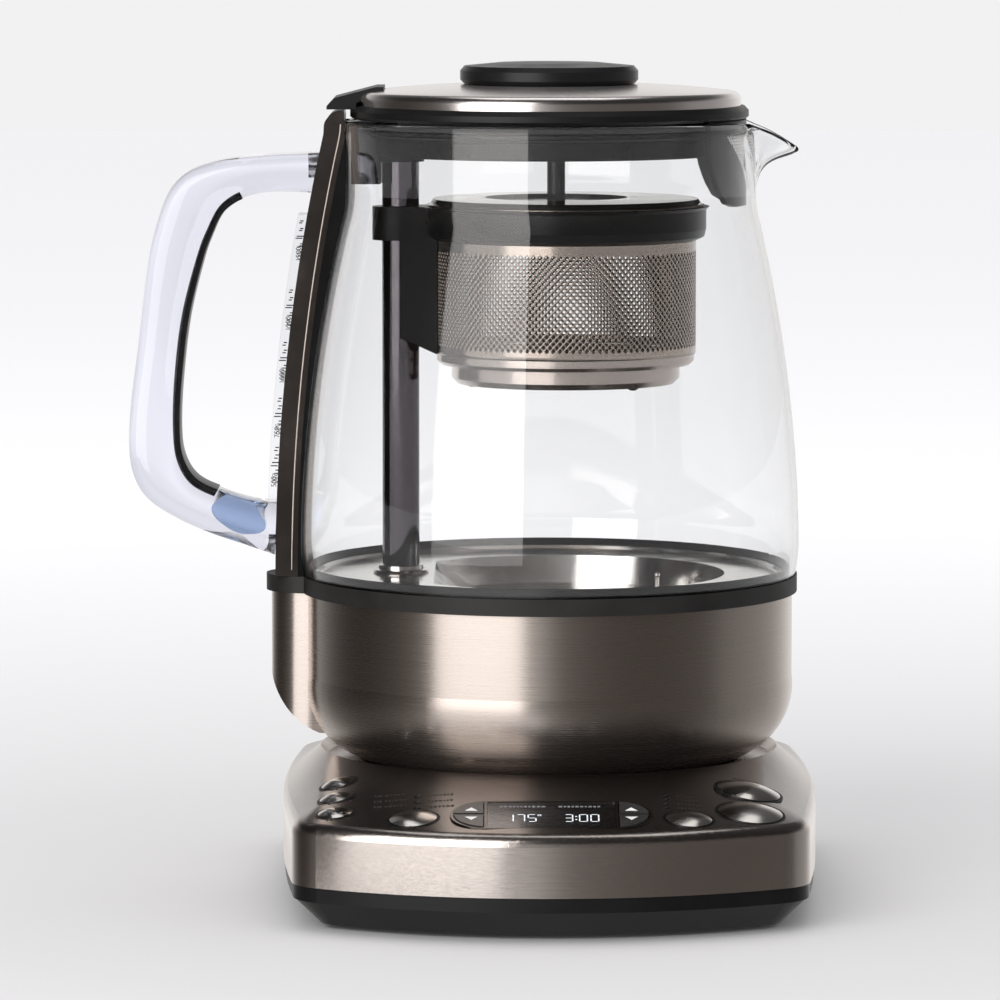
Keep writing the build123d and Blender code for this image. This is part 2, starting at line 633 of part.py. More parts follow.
with BuildPart() as heater_plate:
    plate = [(0, PLATE_Z - SKIN), (72.4, PLATE_Z - SKIN), (72.4, 90.5), (73.6, 90.5),
             (73.6, PLATE_Z + 1), (72.6, PLATE_Z + 1), (72.2, PLATE_Z), (0, PLATE_Z)]
    revolve(turned(plate), axis=AXIS)
    with BuildPart(mode=Mode.PRIVATE) as well_outside:
        under_z = WELL_FLOOR_Z - SKIN
        well = [(0, under_z), (WELL_R, under_z), (WELL_R + 1.6, PLATE_Z), (0, PLATE_Z)]
        revolve(turned(well, WELL_X), axis=vertical(WELL_X))
        facet = [(-60, 80), (WELL_FACET_X + 12, 80), (WELL_FACET_X + 10, under_z),
                 (WELL_FACET_X - 1.6, PLATE_Z + 1), (-60, PLATE_Z + 1)]
        extrude(side_face(facet), amount=70, both=True, mode=Mode.SUBTRACT)
    with BuildPart(mode=Mode.PRIVATE) as well_inside:
        above = PLATE_Z + 1
        well = [(0, WELL_FLOOR_Z), (WELL_R - SKIN, WELL_FLOOR_Z), (WELL_R + 0.5, above), (0, above)]
        revolve(turned(well, WELL_X), axis=vertical(WELL_X))
        facet = [(-60, 80), (WELL_FACET_X + 13, 80), (WELL_FACET_X + 11.4, WELL_FLOOR_Z),
                 (WELL_FACET_X, PLATE_Z), (WELL_FACET_X - 2.0, PLATE_Z + 2), (-60, PLATE_Z + 2)]
        extrude(side_face(facet), amount=70, both=True, mode=Mode.SUBTRACT)
    add(well_outside.part)
    add(well_inside.part, mode=Mode.SUBTRACT)
    extrude(disc(80, POST_R + 0.05, POST_X), amount=30, mode=Mode.SUBTRACT)
    extrude(disc(80, 1.65, *PROBE), amount=12, mode=Mode.SUBTRACT)

with BuildPart() as inner_gasket:
    revolve(turned([(73.7, 97.6), (75.6, 97.6), (75.9, 100.4), (75.3, 100.6), (73.7, 98.7)]), axis=AXIS)

with BuildPart() as heating_element:
    with BuildSketch(Plane.XZ.shift_origin((WELL_X, 0, 0))):
        with Locations((ELEMENT_R, WELL_FLOOR_Z - 4.3)):
            Circle(3.2)
    revolve(axis=vertical(WELL_X), revolution_arc=310)
    for angle in (0, -50):
        x = WELL_X + ELEMENT_R * cos(radians(angle))
        y = ELEMENT_R * sin(radians(angle))
        extrude(disc(WELL_FLOOR_Z - 18, 2.2, x, y), amount=13)

with BuildPart() as temperature_probe:
    extrude(disc(WELL_FLOOR_Z + 0.02, 3.2, *PROBE), amount=0.8)
    extrude(disc(WELL_FLOOR_Z - 4.0, 1.6, *PROBE), amount=4.3)
    extrude(disc(WELL_FLOOR_Z, 0.7, *PROBE), amount=4.4)
    with Locations((*PROBE, WELL_FLOOR_Z + 4.6)):
        Sphere(1.0)

# ---------------------------------------------------------------- jug: glass
with BuildPart() as glass_body:
    revolve(glass_profile(0.0), axis=AXIS)
    tip_x, tip_z = SPOUT_TIP
    root, tip = spout_section(60.0, 21.0, 244.0, 221.9, 6.0), spout_section(tip_x, 3.6, 244.0, tip_z, 1.2)
    loft([root, tip], ruled=True)
    revolve(glass_profile(GLASS_T), axis=AXIS, mode=Mode.SUBTRACT)
    inner_root = spout_section(57.0, 19.6, 245.0, 223.4, 5.0)
    inner_tip = spout_section(tip_x - 1.5, 2.3, 245.0, tip_z + 1.2, 0.9)
    loft([inner_root, inner_tip], ruled=True, mode=Mode.SUBTRACT)
    # the rim falls towards the spout
    lip = [(57.0, GLASS_RIM_Z), (58.0, GLASS_RIM_Z), (70.0, 234.9), (79.0, 231.2), (79.0, 246), (57.0, 246)]
    extrude(side_face(lip), amount=40, both=True, mode=Mode.SUBTRACT)
    extrude(disc(92, 74), amount=2, mode=Mode.SUBTRACT)
    # notch at the back of the rim for the handle's bridge
    extrude(*block((-70, -58), (-8.6, 8.6), (236.5, 241)), mode=Mode.SUBTRACT)

# ---------------------------------------------------------------- jug: post and its drive
with BuildPart() as post_tube:
    extrude(disc(84.2, POST_R, POST_X), amount=POST_TOP_Z - 84.2)
    extrude(disc(84, POST_BORE_R, POST_X), amount=POST_TOP_Z - 86.2, mode=Mode.SUBTRACT)

with BuildPart() as post_flange:
    bore, low = POST_R + 0.04, PLATE_Z + 0.05
    ring = [(bore, low), (8.6, low), (8.8, PLATE_Z + 0.5), (8.3, PLATE_Z + 1.0), (7.1, PLATE_Z + 1.2),
            (6.9, PLATE_Z + 2.4), (bore, PLATE_Z + 2.8)]
    revolve(turned(ring, POST_X), axis=vertical(POST_X))

with BuildPart() as post_top_bracket:
    extrude(*block((-61.4, -52.6), (-9.5, 9.5), (220.2, 239.4)))
    extrude(*block((-54.0, -46.0), (-7.5, 7.5), (227.0, 239.4)))
    extrude(disc(227.0, 7.5, POST_X), amount=12.4)
    extrude(*block((-66.2, -60.0), (-8.0, 8.0), (236.8, 239.4)))
    uprights = post_top_bracket.edges().filter_by(Axis.Z)
    fillet(uprights.filter_by(lambda e: e.center().Z < 230 and e.center().X > -54), 2.0)
    extrude(disc(226, POST_R + 0.05, POST_X), amount=4.0, mode=Mode.SUBTRACT)

with BuildPart() as lift_motor:
    extrude(disc(46.5, 11.5, POST_X), amount=25.5)
    extrude(disc(72.0, 14.0, POST_X), amount=12.0)
    extrude(disc(44.5, 4.0, POST_X), amount=2.0)
    extrude(disc(76.0, SCREW_R + 0.05, POST_X), amount=10.0, mode=Mode.SUBTRACT)

with BuildPart() as lead_screw:
    extrude(disc(76.3, SCREW_R, POST_X), amount=145.0)
    # a driven collar just above the gearbox
    extrude(disc(84.6, 3.6, POST_X), amount=2.0)

with BuildPart() as drive_magnet:
    extrude(disc(203.0, POST_BORE_R - GAP, POST_X), amount=9.0)
    extrude(disc(202.0, SCREW_R + 0.06, POST_X), amount=12.0, mode=Mode.SUBTRACT)

# ---------------------------------------------------------------- handle and spine
with BuildPart() as glass_room:
    revolve(glass_profile(-0.1), axis=AXIS)

with BuildPart() as spine_strap:
    extrude(spine_section(0.0, STRAP_DEPTH), amount=SPINE_HALF_W, both=True)
    top = [(-70.4, 235.9), (-70.2, 239.6), (-67.6, 243.0), (-63.9, 243.0), (-63.9, 235.9)]
    extrude(side_face(top, [3.4, 3.0, 0.4]), amount=SPINE_HALF_W, both=True)
    channel = spine_section(SKIN, STRAP_DEPTH + 6, 97.0, 236.5)
    extrude(channel, amount=SPINE_HALF_W - SKIN, both=True, mode=Mode.SUBTRACT)
    inside = [(-69.3, 230.0), (-69.2, 239.4), (-67.1, 242.0), (-63.0, 242.0), (-63.0, 230.0)]
    extrude(side_face(inside), amount=SPINE_HALF_W - SKIN, both=True, mode=Mode.SUBTRACT)
    add(glass_room.part, mode=Mode.SUBTRACT)
    for z, head_x, tip_x in HANDLE_SCREWS:
        extrude(disc_across(-95.0, z, HANDLE_SCREW_R + 0.1), amount=25, mode=Mode.SUBTRACT)

with BuildPart() as spine_core:
    extrude(spine_section(SKIN + 0.05, 16.0, None, 236.0), amount=SPINE_HALF_W - SKIN - 0.05, both=True)
    extrude(spine_section(STRAP_DEPTH + 0.05, 16.0, None, 236.0), amount=SPINE_HALF_W, both=True)
    crown = [(-69.2, 235.0), (-69.1, 239.4), (-67.1, 241.9), (-63.9, 241.9), (-63.9, 235.0)]
    extrude(side_face(crown), amount=SPINE_HALF_W - SKIN - 0.05, both=True)
    add(glass_room.part, mode=Mode.SUBTRACT)
    extrude(*block((-66.3, -50.0), (-8.1, 8.1), (236.7, 239.5)), mode=Mode.SUBTRACT)
    for z, head_x, tip_x in HANDLE_SCREWS:
        extrude(disc_across(-95.0, z, HANDLE_SCREW_R + 0.1), amount=40, mode=Mode.SUBTRACT)
        extrude(disc_across(head_x - 1.9, z, HANDLE_SCREW_HEAD_R + 0.1), amount=10, mode=Mode.SUBTRACT)

with BuildPart() as level_strip:
    extrude(spine_section(-3.0, -0.05, 120.5, 210.5), amount=8.0, both=True)

with BuildPart() as beyond_spine:
    extrude(spine_section(-0.05, 40.0, 90.0, 236.0), amount=20.0, both=True)
    extrude(side_face([(-70.6, 235), (-70.6, 250), (-30, 250), (-30, 235)]), amount=20.0, both=True)

with BuildPart() as handle:
    extrude(side_face(HANDLE_OUTER, HANDLE_OUTER_R), amount=HANDLE_HALF_W, both=True)
    outer_edges = handle.edges().filter_by(lambda e: abs(abs(e.center().Y) - HANDLE_HALF_W) < 0.01)
    fillet(outer_edges.filter_by(lambda e: e.center().X < -72), 4.5)
    extrude(side_face(HANDLE_HOLE, HANDLE_HOLE_R), amount=20, both=True, mode=Mode.SUBTRACT)
    with BuildSketch(Plane.XZ) as grip_room:
        add(side_face(HANDLE_HOLE, HANDLE_HOLE_R))
        offset(amount=GRIP_T)
        with BuildLine():
            Polyline(*GRIP_REACH, close=True)
        make_face(mode=Mode.INTERSECT)
    extrude(grip_room.sketch, amount=GRIP_HALF_W + 0.1, both=True, mode=Mode.SUBTRACT)
    add(beyond_spine.part, mode=Mode.SUBTRACT)
    with BuildSketch(Plane.XZ) as lug_room:
        with Locations(Location(LUG_PLACE, LUG_TILT)):
            Ellipse(9.2, 4.2)
    extrude(lug_room.sketch, amount=4.0, both=True, mode=Mode.SUBTRACT)
    for z, head_x, tip_x in HANDLE_SCREWS:
        extrude(disc_across(tip_x - 0.5, z, HANDLE_SCREW_R + 0.1), amount=30, mode=Mode.SUBTRACT)

with BuildPart() as handle_grip:
    extrude(grip_room.sketch, amount=GRIP_HALF_W, both=True)
    extrude(side_face(HANDLE_HOLE, HANDLE_HOLE_R), amount=20, both=True, mode=Mode.SUBTRACT)

with BuildPart() as handle_lug:
    with BuildSketch(Plane.XZ):
        with Locations(Location(LUG_PLACE, LUG_TILT)):
            Ellipse(9.1, 4.1)
    extrude(amount=3.9, both=True)

with BuildPart() as handle_screws:
    for z, head_x, tip_x in HANDLE_SCREWS:
        extrude(disc_across(head_x - 1.8, z, HANDLE_SCREW_HEAD_R), amount=1.7)
        extrude(disc_across(tip_x, z, HANDLE_SCREW_R), amount=head_x - 1.0 - tip_x)

# ---------------------------------------------------------------- carriage: carrier and basket
with BuildPart() as basket_carrier:
    low, high = CARRIER_Z
    bore = BASKET_R + 0.25
    collar = [(bore, low + 1.0), (COLLAR_R - 3.0, low), (COLLAR_R - 0.6, low + 1.2), (COLLAR_R, low + 3.6),
              (COLLAR_R, high - 1.0), (COLLAR_R + 1.0, high), (bore, high)]
    extrude(*block((POST_X, POST_X + 11.5), (-8.9, 8.9), (166.0, high)))
    extrude(disc(low, 8.9, POST_X), amount=high - low)
    slope = [(-60, 160), (-30, 160), (-30, 164.5), (-45.9, 171.8), (-60, 171.8)]
    extrude(side_face(slope), amount=12, both=True, mode=Mode.SUBTRACT)
    revolve(turned(collar, BASKET_X), axis=vertical(BASKET_X))
    extrude(disc(150, bore, BASKET_X), amount=80, mode=Mode.SUBTRACT)
    extrude(disc(150, POST_R + SLIP, POST_X), amount=80, mode=Mode.SUBTRACT)
    # slot for the magnet
    extrude(disc(204.5, 8.0, POST_X), amount=6.5, mode=Mode.SUBTRACT)

with BuildPart() as carrier_magnet:
    extrude(disc(204.55, 7.95, POST_X), amount=6.4)
    extrude(disc(200, POST_R + SLIP + 0.1, POST_X), amount=20, mode=Mode.SUBTRACT)
    extrude(disc(150, BASKET_R + 0.4, BASKET_X), amount=80, mode=Mode.SUBTRACT)

with BuildPart() as tea_basket:
    inner, flange_low, flange_high = BASKET_R - BASKET_WALL, BASKET_TOP_Z - 0.1, BASKET_TOP_Z + 0.5
    tube = [(inner, BASKET_BAND_Z), (BASKET_R, BASKET_BAND_Z), (BASKET_R, flange_low),
            (COLLAR_R - 0.4, flange_low), (COLLAR_R - 0.4, flange_high), (inner, flange_high)]
    revolve(turned(tube, BASKET_X), axis=vertical(BASKET_X))

with BuildPart() as basket_base:
    floor = BASKET_BAND_Z - 0.05
    cup = [(0, CUP_Z), (CUP_R - 1.6, CUP_Z), (CUP_R, CUP_Z + 1.8), (CUP_R, floor - 3.6),
           (BASKET_R - 1.2, floor - 3.4), (BASKET_R, floor - 2.2), (BASKET_R, floor),
           (BASKET_R - 1.8, floor), (CUP_R - 0.8, floor - 2.2), (CUP_R - 0.8, CUP_Z + 2.2),
           (CUP_R - 2.0, CUP_Z + 0.8), (0, CUP_Z + 0.8)]
    revolve(turned(cup, BASKET_X), axis=vertical(BASKET_X))

with BuildPart() as basket_feet:
    for angle in (-167.0, -46.5, 73.5):
        x, y = BASKET_X + 30 * cos(radians(angle)), 30 * sin(radians(angle))
        with Locations((x, y, CUP_Z + 1.4)):
            Sphere(FOOT_R)
    extrude(*block((-50, 60), (-50, 50), (CUP_Z - 0.02, CUP_Z + 8)), mode=Mode.SUBTRACT)

with BuildPart() as basket_lid:
    top = BASKET_TOP_Z + 0.55
    cover = [(0, top), (BASKET_R + 1.4, top), (BASKET_R + 1.9, top + 0.6), (BASKET_R + 1.2, top + 1.7),
             (24, top + 2.0), (0, top + 2.0)]
    revolve(turned(cover, BASKET_X), axis=vertical(BASKET_X))
    extrude(disc(top + 1.0, 22.4, LID_STEM_X), amount=4, mode=Mode.SUBTRACT)
    extrude(disc(top, 2.85, LID_STEM_X), amount=233.4 - top)
    fillet(basket_lid.edges().group_by(Axis.Z)[-1], 1.2)

# ---------------------------------------------------------------- lid
with BuildPart() as lid_rim:
    rim_profile = [(0, LID_Z + 1.2), (56, LID_Z + 1.2), (56, LID_Z), (61.4, LID_Z), (LID_R, LID_Z + 0.9),
                   (LID_R, LID_Z + 2.7), (61.2, LID_Z + 4.1), (60.3, LID_Z + 4.1), (60.3, LID_Z + 3.4),
                   (0, LID_Z + 3.4)]
    revolve(turned(rim_profile), axis=AXIS)
    # tab over the top of the handle's spine
    tab = [(-69.4, 243.6), (-69.4, 244.6), (-67.0, 247.2), (-54.0, 250.6), (-51.6, 250.6),
           (-51.6, 249.6), (-56.0, 247.4), (-60.2, 245.6), (-60.2, 243.6)]
    extrude(side_face(tab), amount=13.0, both=True)
    # room for the steel top and for the spine
    top_low = LID_Z + 3.4
    top_room = [(0, top_low), (60.25, top_low), (60.25, 246.2), (57.2, 248.0), (45, 250.1), (0, 250.1)]
    revolve(turned(top_room), axis=AXIS, mode=Mode.SUBTRACT)
    extrude(*block((-66, -62.2), (-13.5, 13.5), (240, 243.4)), mode=Mode.SUBTRACT)
    extrude(*block((-63.8, -55), (-9, 9), (239, 240.6)), mode=Mode.SUBTRACT)

with BuildPart() as lid_top:
    top_profile = [(0, 246.4), (30, 246.8), (41.8, 248.6), (45, 248.8), (56.8, 246.3), (58.6, 245.4),
                   (59.3, 244.6), (LID_TOP_R, 244.6), (59.2, 246.1), (57.0, 247.1), (45.0, 249.6),
                   (42, 249.4), (30, 247.6), (0, 247.2)]
    revolve(turned(top_profile), axis=AXIS)
    extrude(disc(245, 3.2), amount=5, mode=Mode.SUBTRACT)

with BuildPart() as lid_knob:
    knob_profile = [(0, 247.45), (13.0, 247.45), (12.0, 251.4), (26.8, 251.4), (KNOB_R, 252.6),
                    (KNOB_R, 255.4), (26.6, 256.9), (16.0, 257.9), (0, KNOB_TOP_Z)]
    revolve(turned(knob_profile), axis=AXIS)
    # boss through the steel top
    extrude(disc(LID_Z + 3.45, 3.1), amount=5)

with BuildPart() as lid_skirt:
    skirt_profile = [(0, 240.0), (51.6, 240.0), (51.6, 229.2), (SKIRT_R - 0.4, 229.2), (SKIRT_R, 229.8),
                     (SKIRT_R, LID_Z + 1.1), (0, LID_Z + 1.1)]
    revolve(turned(skirt_profile), axis=AXIS)
    extrude(*block((-70, -38.6), (-10.4, 10.4), (225, 239.8)), mode=Mode.SUBTRACT)

with BuildPart() as lid_seal:
    lips = [(SKIRT_R + 0.05, 234.6), (56.8, 235.2), (57.2, 235.8), (55.0, 236.0), (55.0, 237.0),
            (57.4, 237.6), (57.6, 238.2), (SKIRT_R + 0.05, 238.6)]
    revolve(turned(lips), axis=AXIS)
    extrude(*block((-70, -38.6), (-10.4, 10.4), (225, 241)), mode=Mode.SUBTRACT)


def filter_plan(z, inner, outer):
    """A crescent of the jug's neck on the spout side."""
    with BuildSketch(Plane.XY.offset(z)) as plan:
        Circle(outer)
        Circle(inner, mode=Mode.SUBTRACT)
        with Locations((60, 0)):
            Rectangle(30, 84, mode=Mode.INTERSECT)
    return plan.sketch


def filter_front(widths, heights, radius):
    """The filter's outline seen along the spout, narrowing to a round lower edge."""
    (wide, narrow), (high, low) = widths, heights
    with BuildSketch(Plane.YZ.offset(40)) as front:
        with BuildLine():
            Polyline((-wide, high), (wide, high), (narrow, low), (-narrow, low), close=True)
        make_face()
        fillet(front.vertices().group_by(Axis.Y)[0], radius)
    return front.sketch


with BuildPart() as spout_filter_frame:
    extrude(filter_plan(212, 60.0, FILTER_R), amount=28.3)
    extrude(filter_front((40.0, 40.0), (245, 213.8), 16.0), amount=40, mode=Mode.INTERSECT)
    extrude(filter_front(**MESH_OPENING), amount=40, mode=Mode.SUBTRACT)
    # the web that ties it to the skirt
    extrude(filter_plan(238.8, SKIRT_R + 0.05, 61.0), amount=1.5)

with BuildPart() as spout_filter_mesh:
    extrude(filter_plan(214, 60.5, 61.1), amount=26)
    grown = dict(widths=(26.95, 12.45), heights=(235.95, 217.65), radius=2.95)
    extrude(filter_front(**grown), amount=40, mode=Mode.INTERSECT)

# ---------------------------------------------------------------- write every piece
pieces = {
    "base_bottom_housing": base_bottom_housing,
    "base_foot_ring": base_foot_ring,
    "base_screws": base_screws,
    "base_top_cover": base_top_cover,
    "cord_gland": cord_gland,
    "button_bezels": button_bezels,
    "display_bezel": display_bezel,
    "display_lens": display_lens,
    "display_module": display_module,
    "led_lenses": led_lenses,
    "tact_switches": tact_switches,
    "control_board": control_board,
    "base_connector": base_connector,
    "connector_contacts": connector_contacts,
    "jug_socket": jug_socket,
    "jug_shell": jug_shell,
    "jug_bottom_cover": jug_bottom_cover,
    "rubber_band": rubber_band,
    "heater_plate": heater_plate,
    "inner_gasket": inner_gasket,
    "heating_element": heating_element,
    "temperature_probe": temperature_probe,
    "glass_body": glass_body,
    "post_tube": post_tube,
    "post_flange": post_flange,
    "post_top_bracket": post_top_bracket,
    "lift_motor": lift_motor,
    "lead_screw": lead_screw,
    "drive_magnet": drive_magnet,
    "spine_strap": spine_strap,
    "spine_core": spine_core,
    "level_strip": level_strip,
    "handle": handle,
    "handle_grip": handle_grip,
    "handle_lug": handle_lug,
    "handle_screws": handle_screws,
    "basket_carrier": basket_carrier,
    "carrier_magnet": carrier_magnet,
    "tea_basket": tea_basket,
    "basket_base": basket_base,
    "basket_feet": basket_feet,
    "basket_lid": basket_lid,
    "lid_rim": lid_rim,
    "lid_top": lid_top,
    "lid_knob": lid_knob,
    "lid_skirt": lid_skirt,
    "lid_seal": lid_seal,
    "spout_filter_frame": spout_filter_frame,
    "spout_filter_mesh": spout_filter_mesh,
    **round_buttons,
    **display_keys,
}
for name, piece in pieces.items():
    piece.part.label = name
    export_step(piece.part, f"parts/{name}.step")
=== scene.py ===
"""Looks of the electric brewer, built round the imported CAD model.

Lengths are in metres, and outlines are given in millimetres.
"""

import math
import random

import bmesh
import bpy
from mathutils import Matrix, Vector


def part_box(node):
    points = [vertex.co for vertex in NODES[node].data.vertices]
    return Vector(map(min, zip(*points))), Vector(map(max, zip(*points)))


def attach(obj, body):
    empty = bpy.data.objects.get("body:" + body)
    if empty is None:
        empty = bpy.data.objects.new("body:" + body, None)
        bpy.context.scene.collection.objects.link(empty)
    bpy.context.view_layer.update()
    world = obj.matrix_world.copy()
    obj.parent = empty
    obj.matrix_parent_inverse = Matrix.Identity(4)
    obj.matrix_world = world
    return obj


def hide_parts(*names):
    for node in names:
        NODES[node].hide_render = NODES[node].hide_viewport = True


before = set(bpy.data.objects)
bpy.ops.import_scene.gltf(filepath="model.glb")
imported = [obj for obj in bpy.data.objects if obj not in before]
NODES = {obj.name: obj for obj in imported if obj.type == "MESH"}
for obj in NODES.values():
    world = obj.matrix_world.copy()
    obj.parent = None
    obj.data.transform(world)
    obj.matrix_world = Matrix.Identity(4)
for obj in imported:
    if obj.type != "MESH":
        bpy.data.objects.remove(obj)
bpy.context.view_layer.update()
MM = 0.001
scene = bpy.context.scene


# ---------------------------------------------------------------- shader helpers
def add_node(tree, kind, inputs=None, **settings):
    """A new node with its inputs given as values or as sockets to wire."""
    node = tree.nodes.new(kind)
    for key, value in settings.items():
        setattr(node, key, value)
    for key, value in (inputs or {}).items():
        if isinstance(value, bpy.types.NodeSocket):
            tree.links.new(value, node.inputs[key])
        else:
            node.inputs[key].default_value = value
    return node


class Shader:
    """One node material with a few shortcuts for wiring it."""

    def __init__(self, name, **values):
        self.material = bpy.data.materials.new(name)
        self.material.use_nodes = True
        self.tree = self.material.node_tree
        self.bsdf = self.tree.nodes["Principled BSDF"]
        self.place = self.add("ShaderNodeTexCoord").outputs["Object"]
        for key, value in values.items():
            self.bsdf.inputs[key.replace("_", " ")].default_value = value

    def add(self, kind, inputs=None, **settings):
        return add_node(self.tree, kind, inputs, **settings)

    def math(self, operation, first, second=0.0, third=None):
        inputs = {0: first, 1: second}
        if third is not None:
            inputs[2] = third
        return self.add("ShaderNodeMath", inputs, operation=operation).outputs[0]

    def noise(self, vector, scale=1.0, detail=2.0, roughness=0.5):
        inputs = {"Vector": vector, "Scale": scale, "Detail": detail, "Roughness": roughness}
        return self.add("ShaderNodeTexNoise", inputs).outputs["Fac"]

    def stretched(self, scale):
        """Object coordinates multiplied by a different factor along each axis."""
        return self.add("ShaderNodeMapping", {"Vector": self.place, "Scale": scale}).outputs[0]

    def around(self, centre_x, along, across, flat=False):
        """Coordinates that run round a vertical axis: slow along the circle, quick across it."""
        split = self.add("ShaderNodeSeparateXYZ", {0: self.place}).outputs
        x = self.math("SUBTRACT", split[0], centre_x)
        turn = self.math("ARCTAN2", split[1], x)
        if flat:
            x_squared, y_squared = self.math("MULTIPLY", x, x), self.math("MULTIPLY", split[1], split[1])
            cross = self.math("SQRT", self.math("ADD", x_squared, y_squared))
        else:
            cross = split[2]
        parts = {0: self.math("MULTIPLY", turn, along), 1: self.math("MULTIPLY", cross, across)}
        return self.add("ShaderNodeCombineXYZ", parts).outputs[0]

    def remap(self, value, low, high, from_low=0.3, from_high=0.7):
        inputs = {"Value": value, "From Min": from_low, "From Max": from_high, "To Min": low, "To Max": high}
        return self.add("ShaderNodeMapRange", inputs).outputs[0]

    def tint(self, value, dark, light, from_low=0.3, from_high=0.7):
        """A colour between dark and light by value, wired to the base colour."""
        ramp = self.add("ShaderNodeValToRGB", {0: value})
        ramp.color_ramp.elements[0].position = from_low
        ramp.color_ramp.elements[1].position = from_high
        ramp.color_ramp.elements[0].color = (*dark, 1)
        ramp.color_ramp.elements[1].color = (*light, 1)
        self.tree.links.new(ramp.outputs[0], self.bsdf.inputs["Base Color"])
        return ramp.outputs[0]

    def rough(self, value):
        self.tree.links.new(value, self.bsdf.inputs["Roughness"])

    def bump(self, height, distance, strength=1.0):
        inputs = {"Height": height, "Distance": distance, "Strength": strength}
        node = self.add("ShaderNodeBump", inputs)
        self.tree.links.new(node.outputs[0], self.bsdf.inputs["Normal"])

    def tangent(self, axis):
        node = self.add("ShaderNodeTangent", direction_type="RADIAL", axis=axis)
        self.tree.links.new(node.outputs[0], self.bsdf.inputs["Tangent"])


def scaled(colour, factor):
    return tuple(channel * factor for channel in colour)


STEEL = (0.585, 0.52, 0.48)
FINE_MARKS, BROAD_MARKS = 5200, 1900  # about the brush marks per metre, across the brushing
QUARTER_TURN = 0.25


def brushed(name, colour=STEEL, roughness=0.27, axis="Z", centre_x=0.0, flat=False, linear=False,
            anisotropy=0.8, painted_top_shade=1.0):
    """Brushed stainless steel. The brush marks run round the vertical axis, or along X when linear.

    Faces that look up get a painted shade: their colour is made darker by the factor given for the top side.
    """
    s = Shader(name, Metallic=1.0, Anisotropic=anisotropy)
    if linear:
        fine = s.stretched((18, FINE_MARKS, FINE_MARKS))
        broad = s.stretched((9, BROAD_MARKS, BROAD_MARKS))
    else:
        s.bsdf.inputs["Anisotropic Rotation"].default_value = QUARTER_TURN
        fine = s.around(centre_x, 1.4, FINE_MARKS, flat)
        broad = s.around(centre_x, 0.8, BROAD_MARKS, flat)
    fine_marks = s.noise(fine, 1.0, 3.0, 0.6)
    broad_marks = s.noise(broad, 1.0, 2.0)
    both = s.math("ADD", s.math("MULTIPLY", fine_marks, 0.6), s.math("MULTIPLY", broad_marks, 0.4))
    steel = s.tint(both, scaled(colour, 0.95), scaled(colour, 1.04), 0.35, 0.65)
    # painted shade: faces that look up are darkened, standing in for the dark reflection of the jug above
    # them
    if painted_top_shade < 1.0:
        facing = s.add("ShaderNodeTexCoord").outputs["Normal"]
        upward = s.add("ShaderNodeSeparateXYZ", {0: facing}).outputs[2]
        darker = s.remap(upward, 1.0, painted_top_shade, 0.6, 0.95)
        shade = s.add("ShaderNodeVectorMath", {0: steel, "Scale": darker}, operation="SCALE")
        s.tree.links.new(shade.outputs[0], s.bsdf.inputs["Base Color"])
    s.rough(s.remap(both, roughness - 0.03, roughness + 0.04))
    s.bump(fine_marks, 0.000003, 0.5)
    s.tangent(axis)
    return s.material


def polished(name, colour=(0.72, 0.70, 0.68), roughness=0.06):
    """Polished metal with faint wipe marks."""
    s = Shader(name, Metallic=1.0)
    smear = s.noise(s.place, 45.0, 4.0, 0.6)
    s.tint(smear, scaled(colour, 0.93), scaled(colour, 1.05))
    s.rough(s.remap(smear, roughness * 0.6, roughness * 1.6))
    s.bump(s.noise(s.place, 160.0, 2.0), 0.00001, 0.3)
    return s.material


def moulded(name, colour, roughness, grain=2600.0, depth=0.00002, coat=0.0, shine=0.35):
    """Moulded plastic or rubber with a fine surface grain."""
    s = Shader(name)
    s.bsdf.inputs["Specular IOR Level"].default_value = shine
    s.bsdf.inputs["Coat Weight"].default_value = coat
    s.bsdf.inputs["Coat Roughness"].default_value = 0.04
    cloud = s.noise(s.place, 60.0, 4.0, 0.6)
    s.tint(cloud, scaled(colour, 0.8), scaled(colour, 1.25))
    s.rough(s.remap(cloud, roughness - 0.05, roughness + 0.06))
    s.bump(s.noise(s.place, grain, 2.0), depth, 0.6)
    return s.material


def clear(name, colour, ior, waviness=0.00002, scale=18.0):
    """Clear glass or acrylic, with a very slight waviness and handling marks."""
    s = Shader(name, IOR=ior)
    s.bsdf.inputs["Transmission Weight"].default_value = 1.0
    marks = s.noise(s.place, 30.0, 4.0, 0.6)
    s.tint(marks, scaled(colour, 0.985), colour)
    s.rough(s.remap(marks, 0.012, 0.022))
    s.bump(s.noise(s.place, scale, 1.0), waviness, 0.5)
    return s.material


def glowing(name, colour, strength):
    """Backlit print that gives a little light of its own."""
    s = Shader(name)
    cloud = s.noise(s.place, 500.0, 2.0)
    lit = s.tint(cloud, scaled(colour, 0.9), colour)
    s.tree.links.new(lit, s.bsdf.inputs["Emission Color"])
    s.bsdf.inputs["Emission Strength"].default_value = strength
    s.rough(s.remap(cloud, 0.3, 0.4))
    return s.material


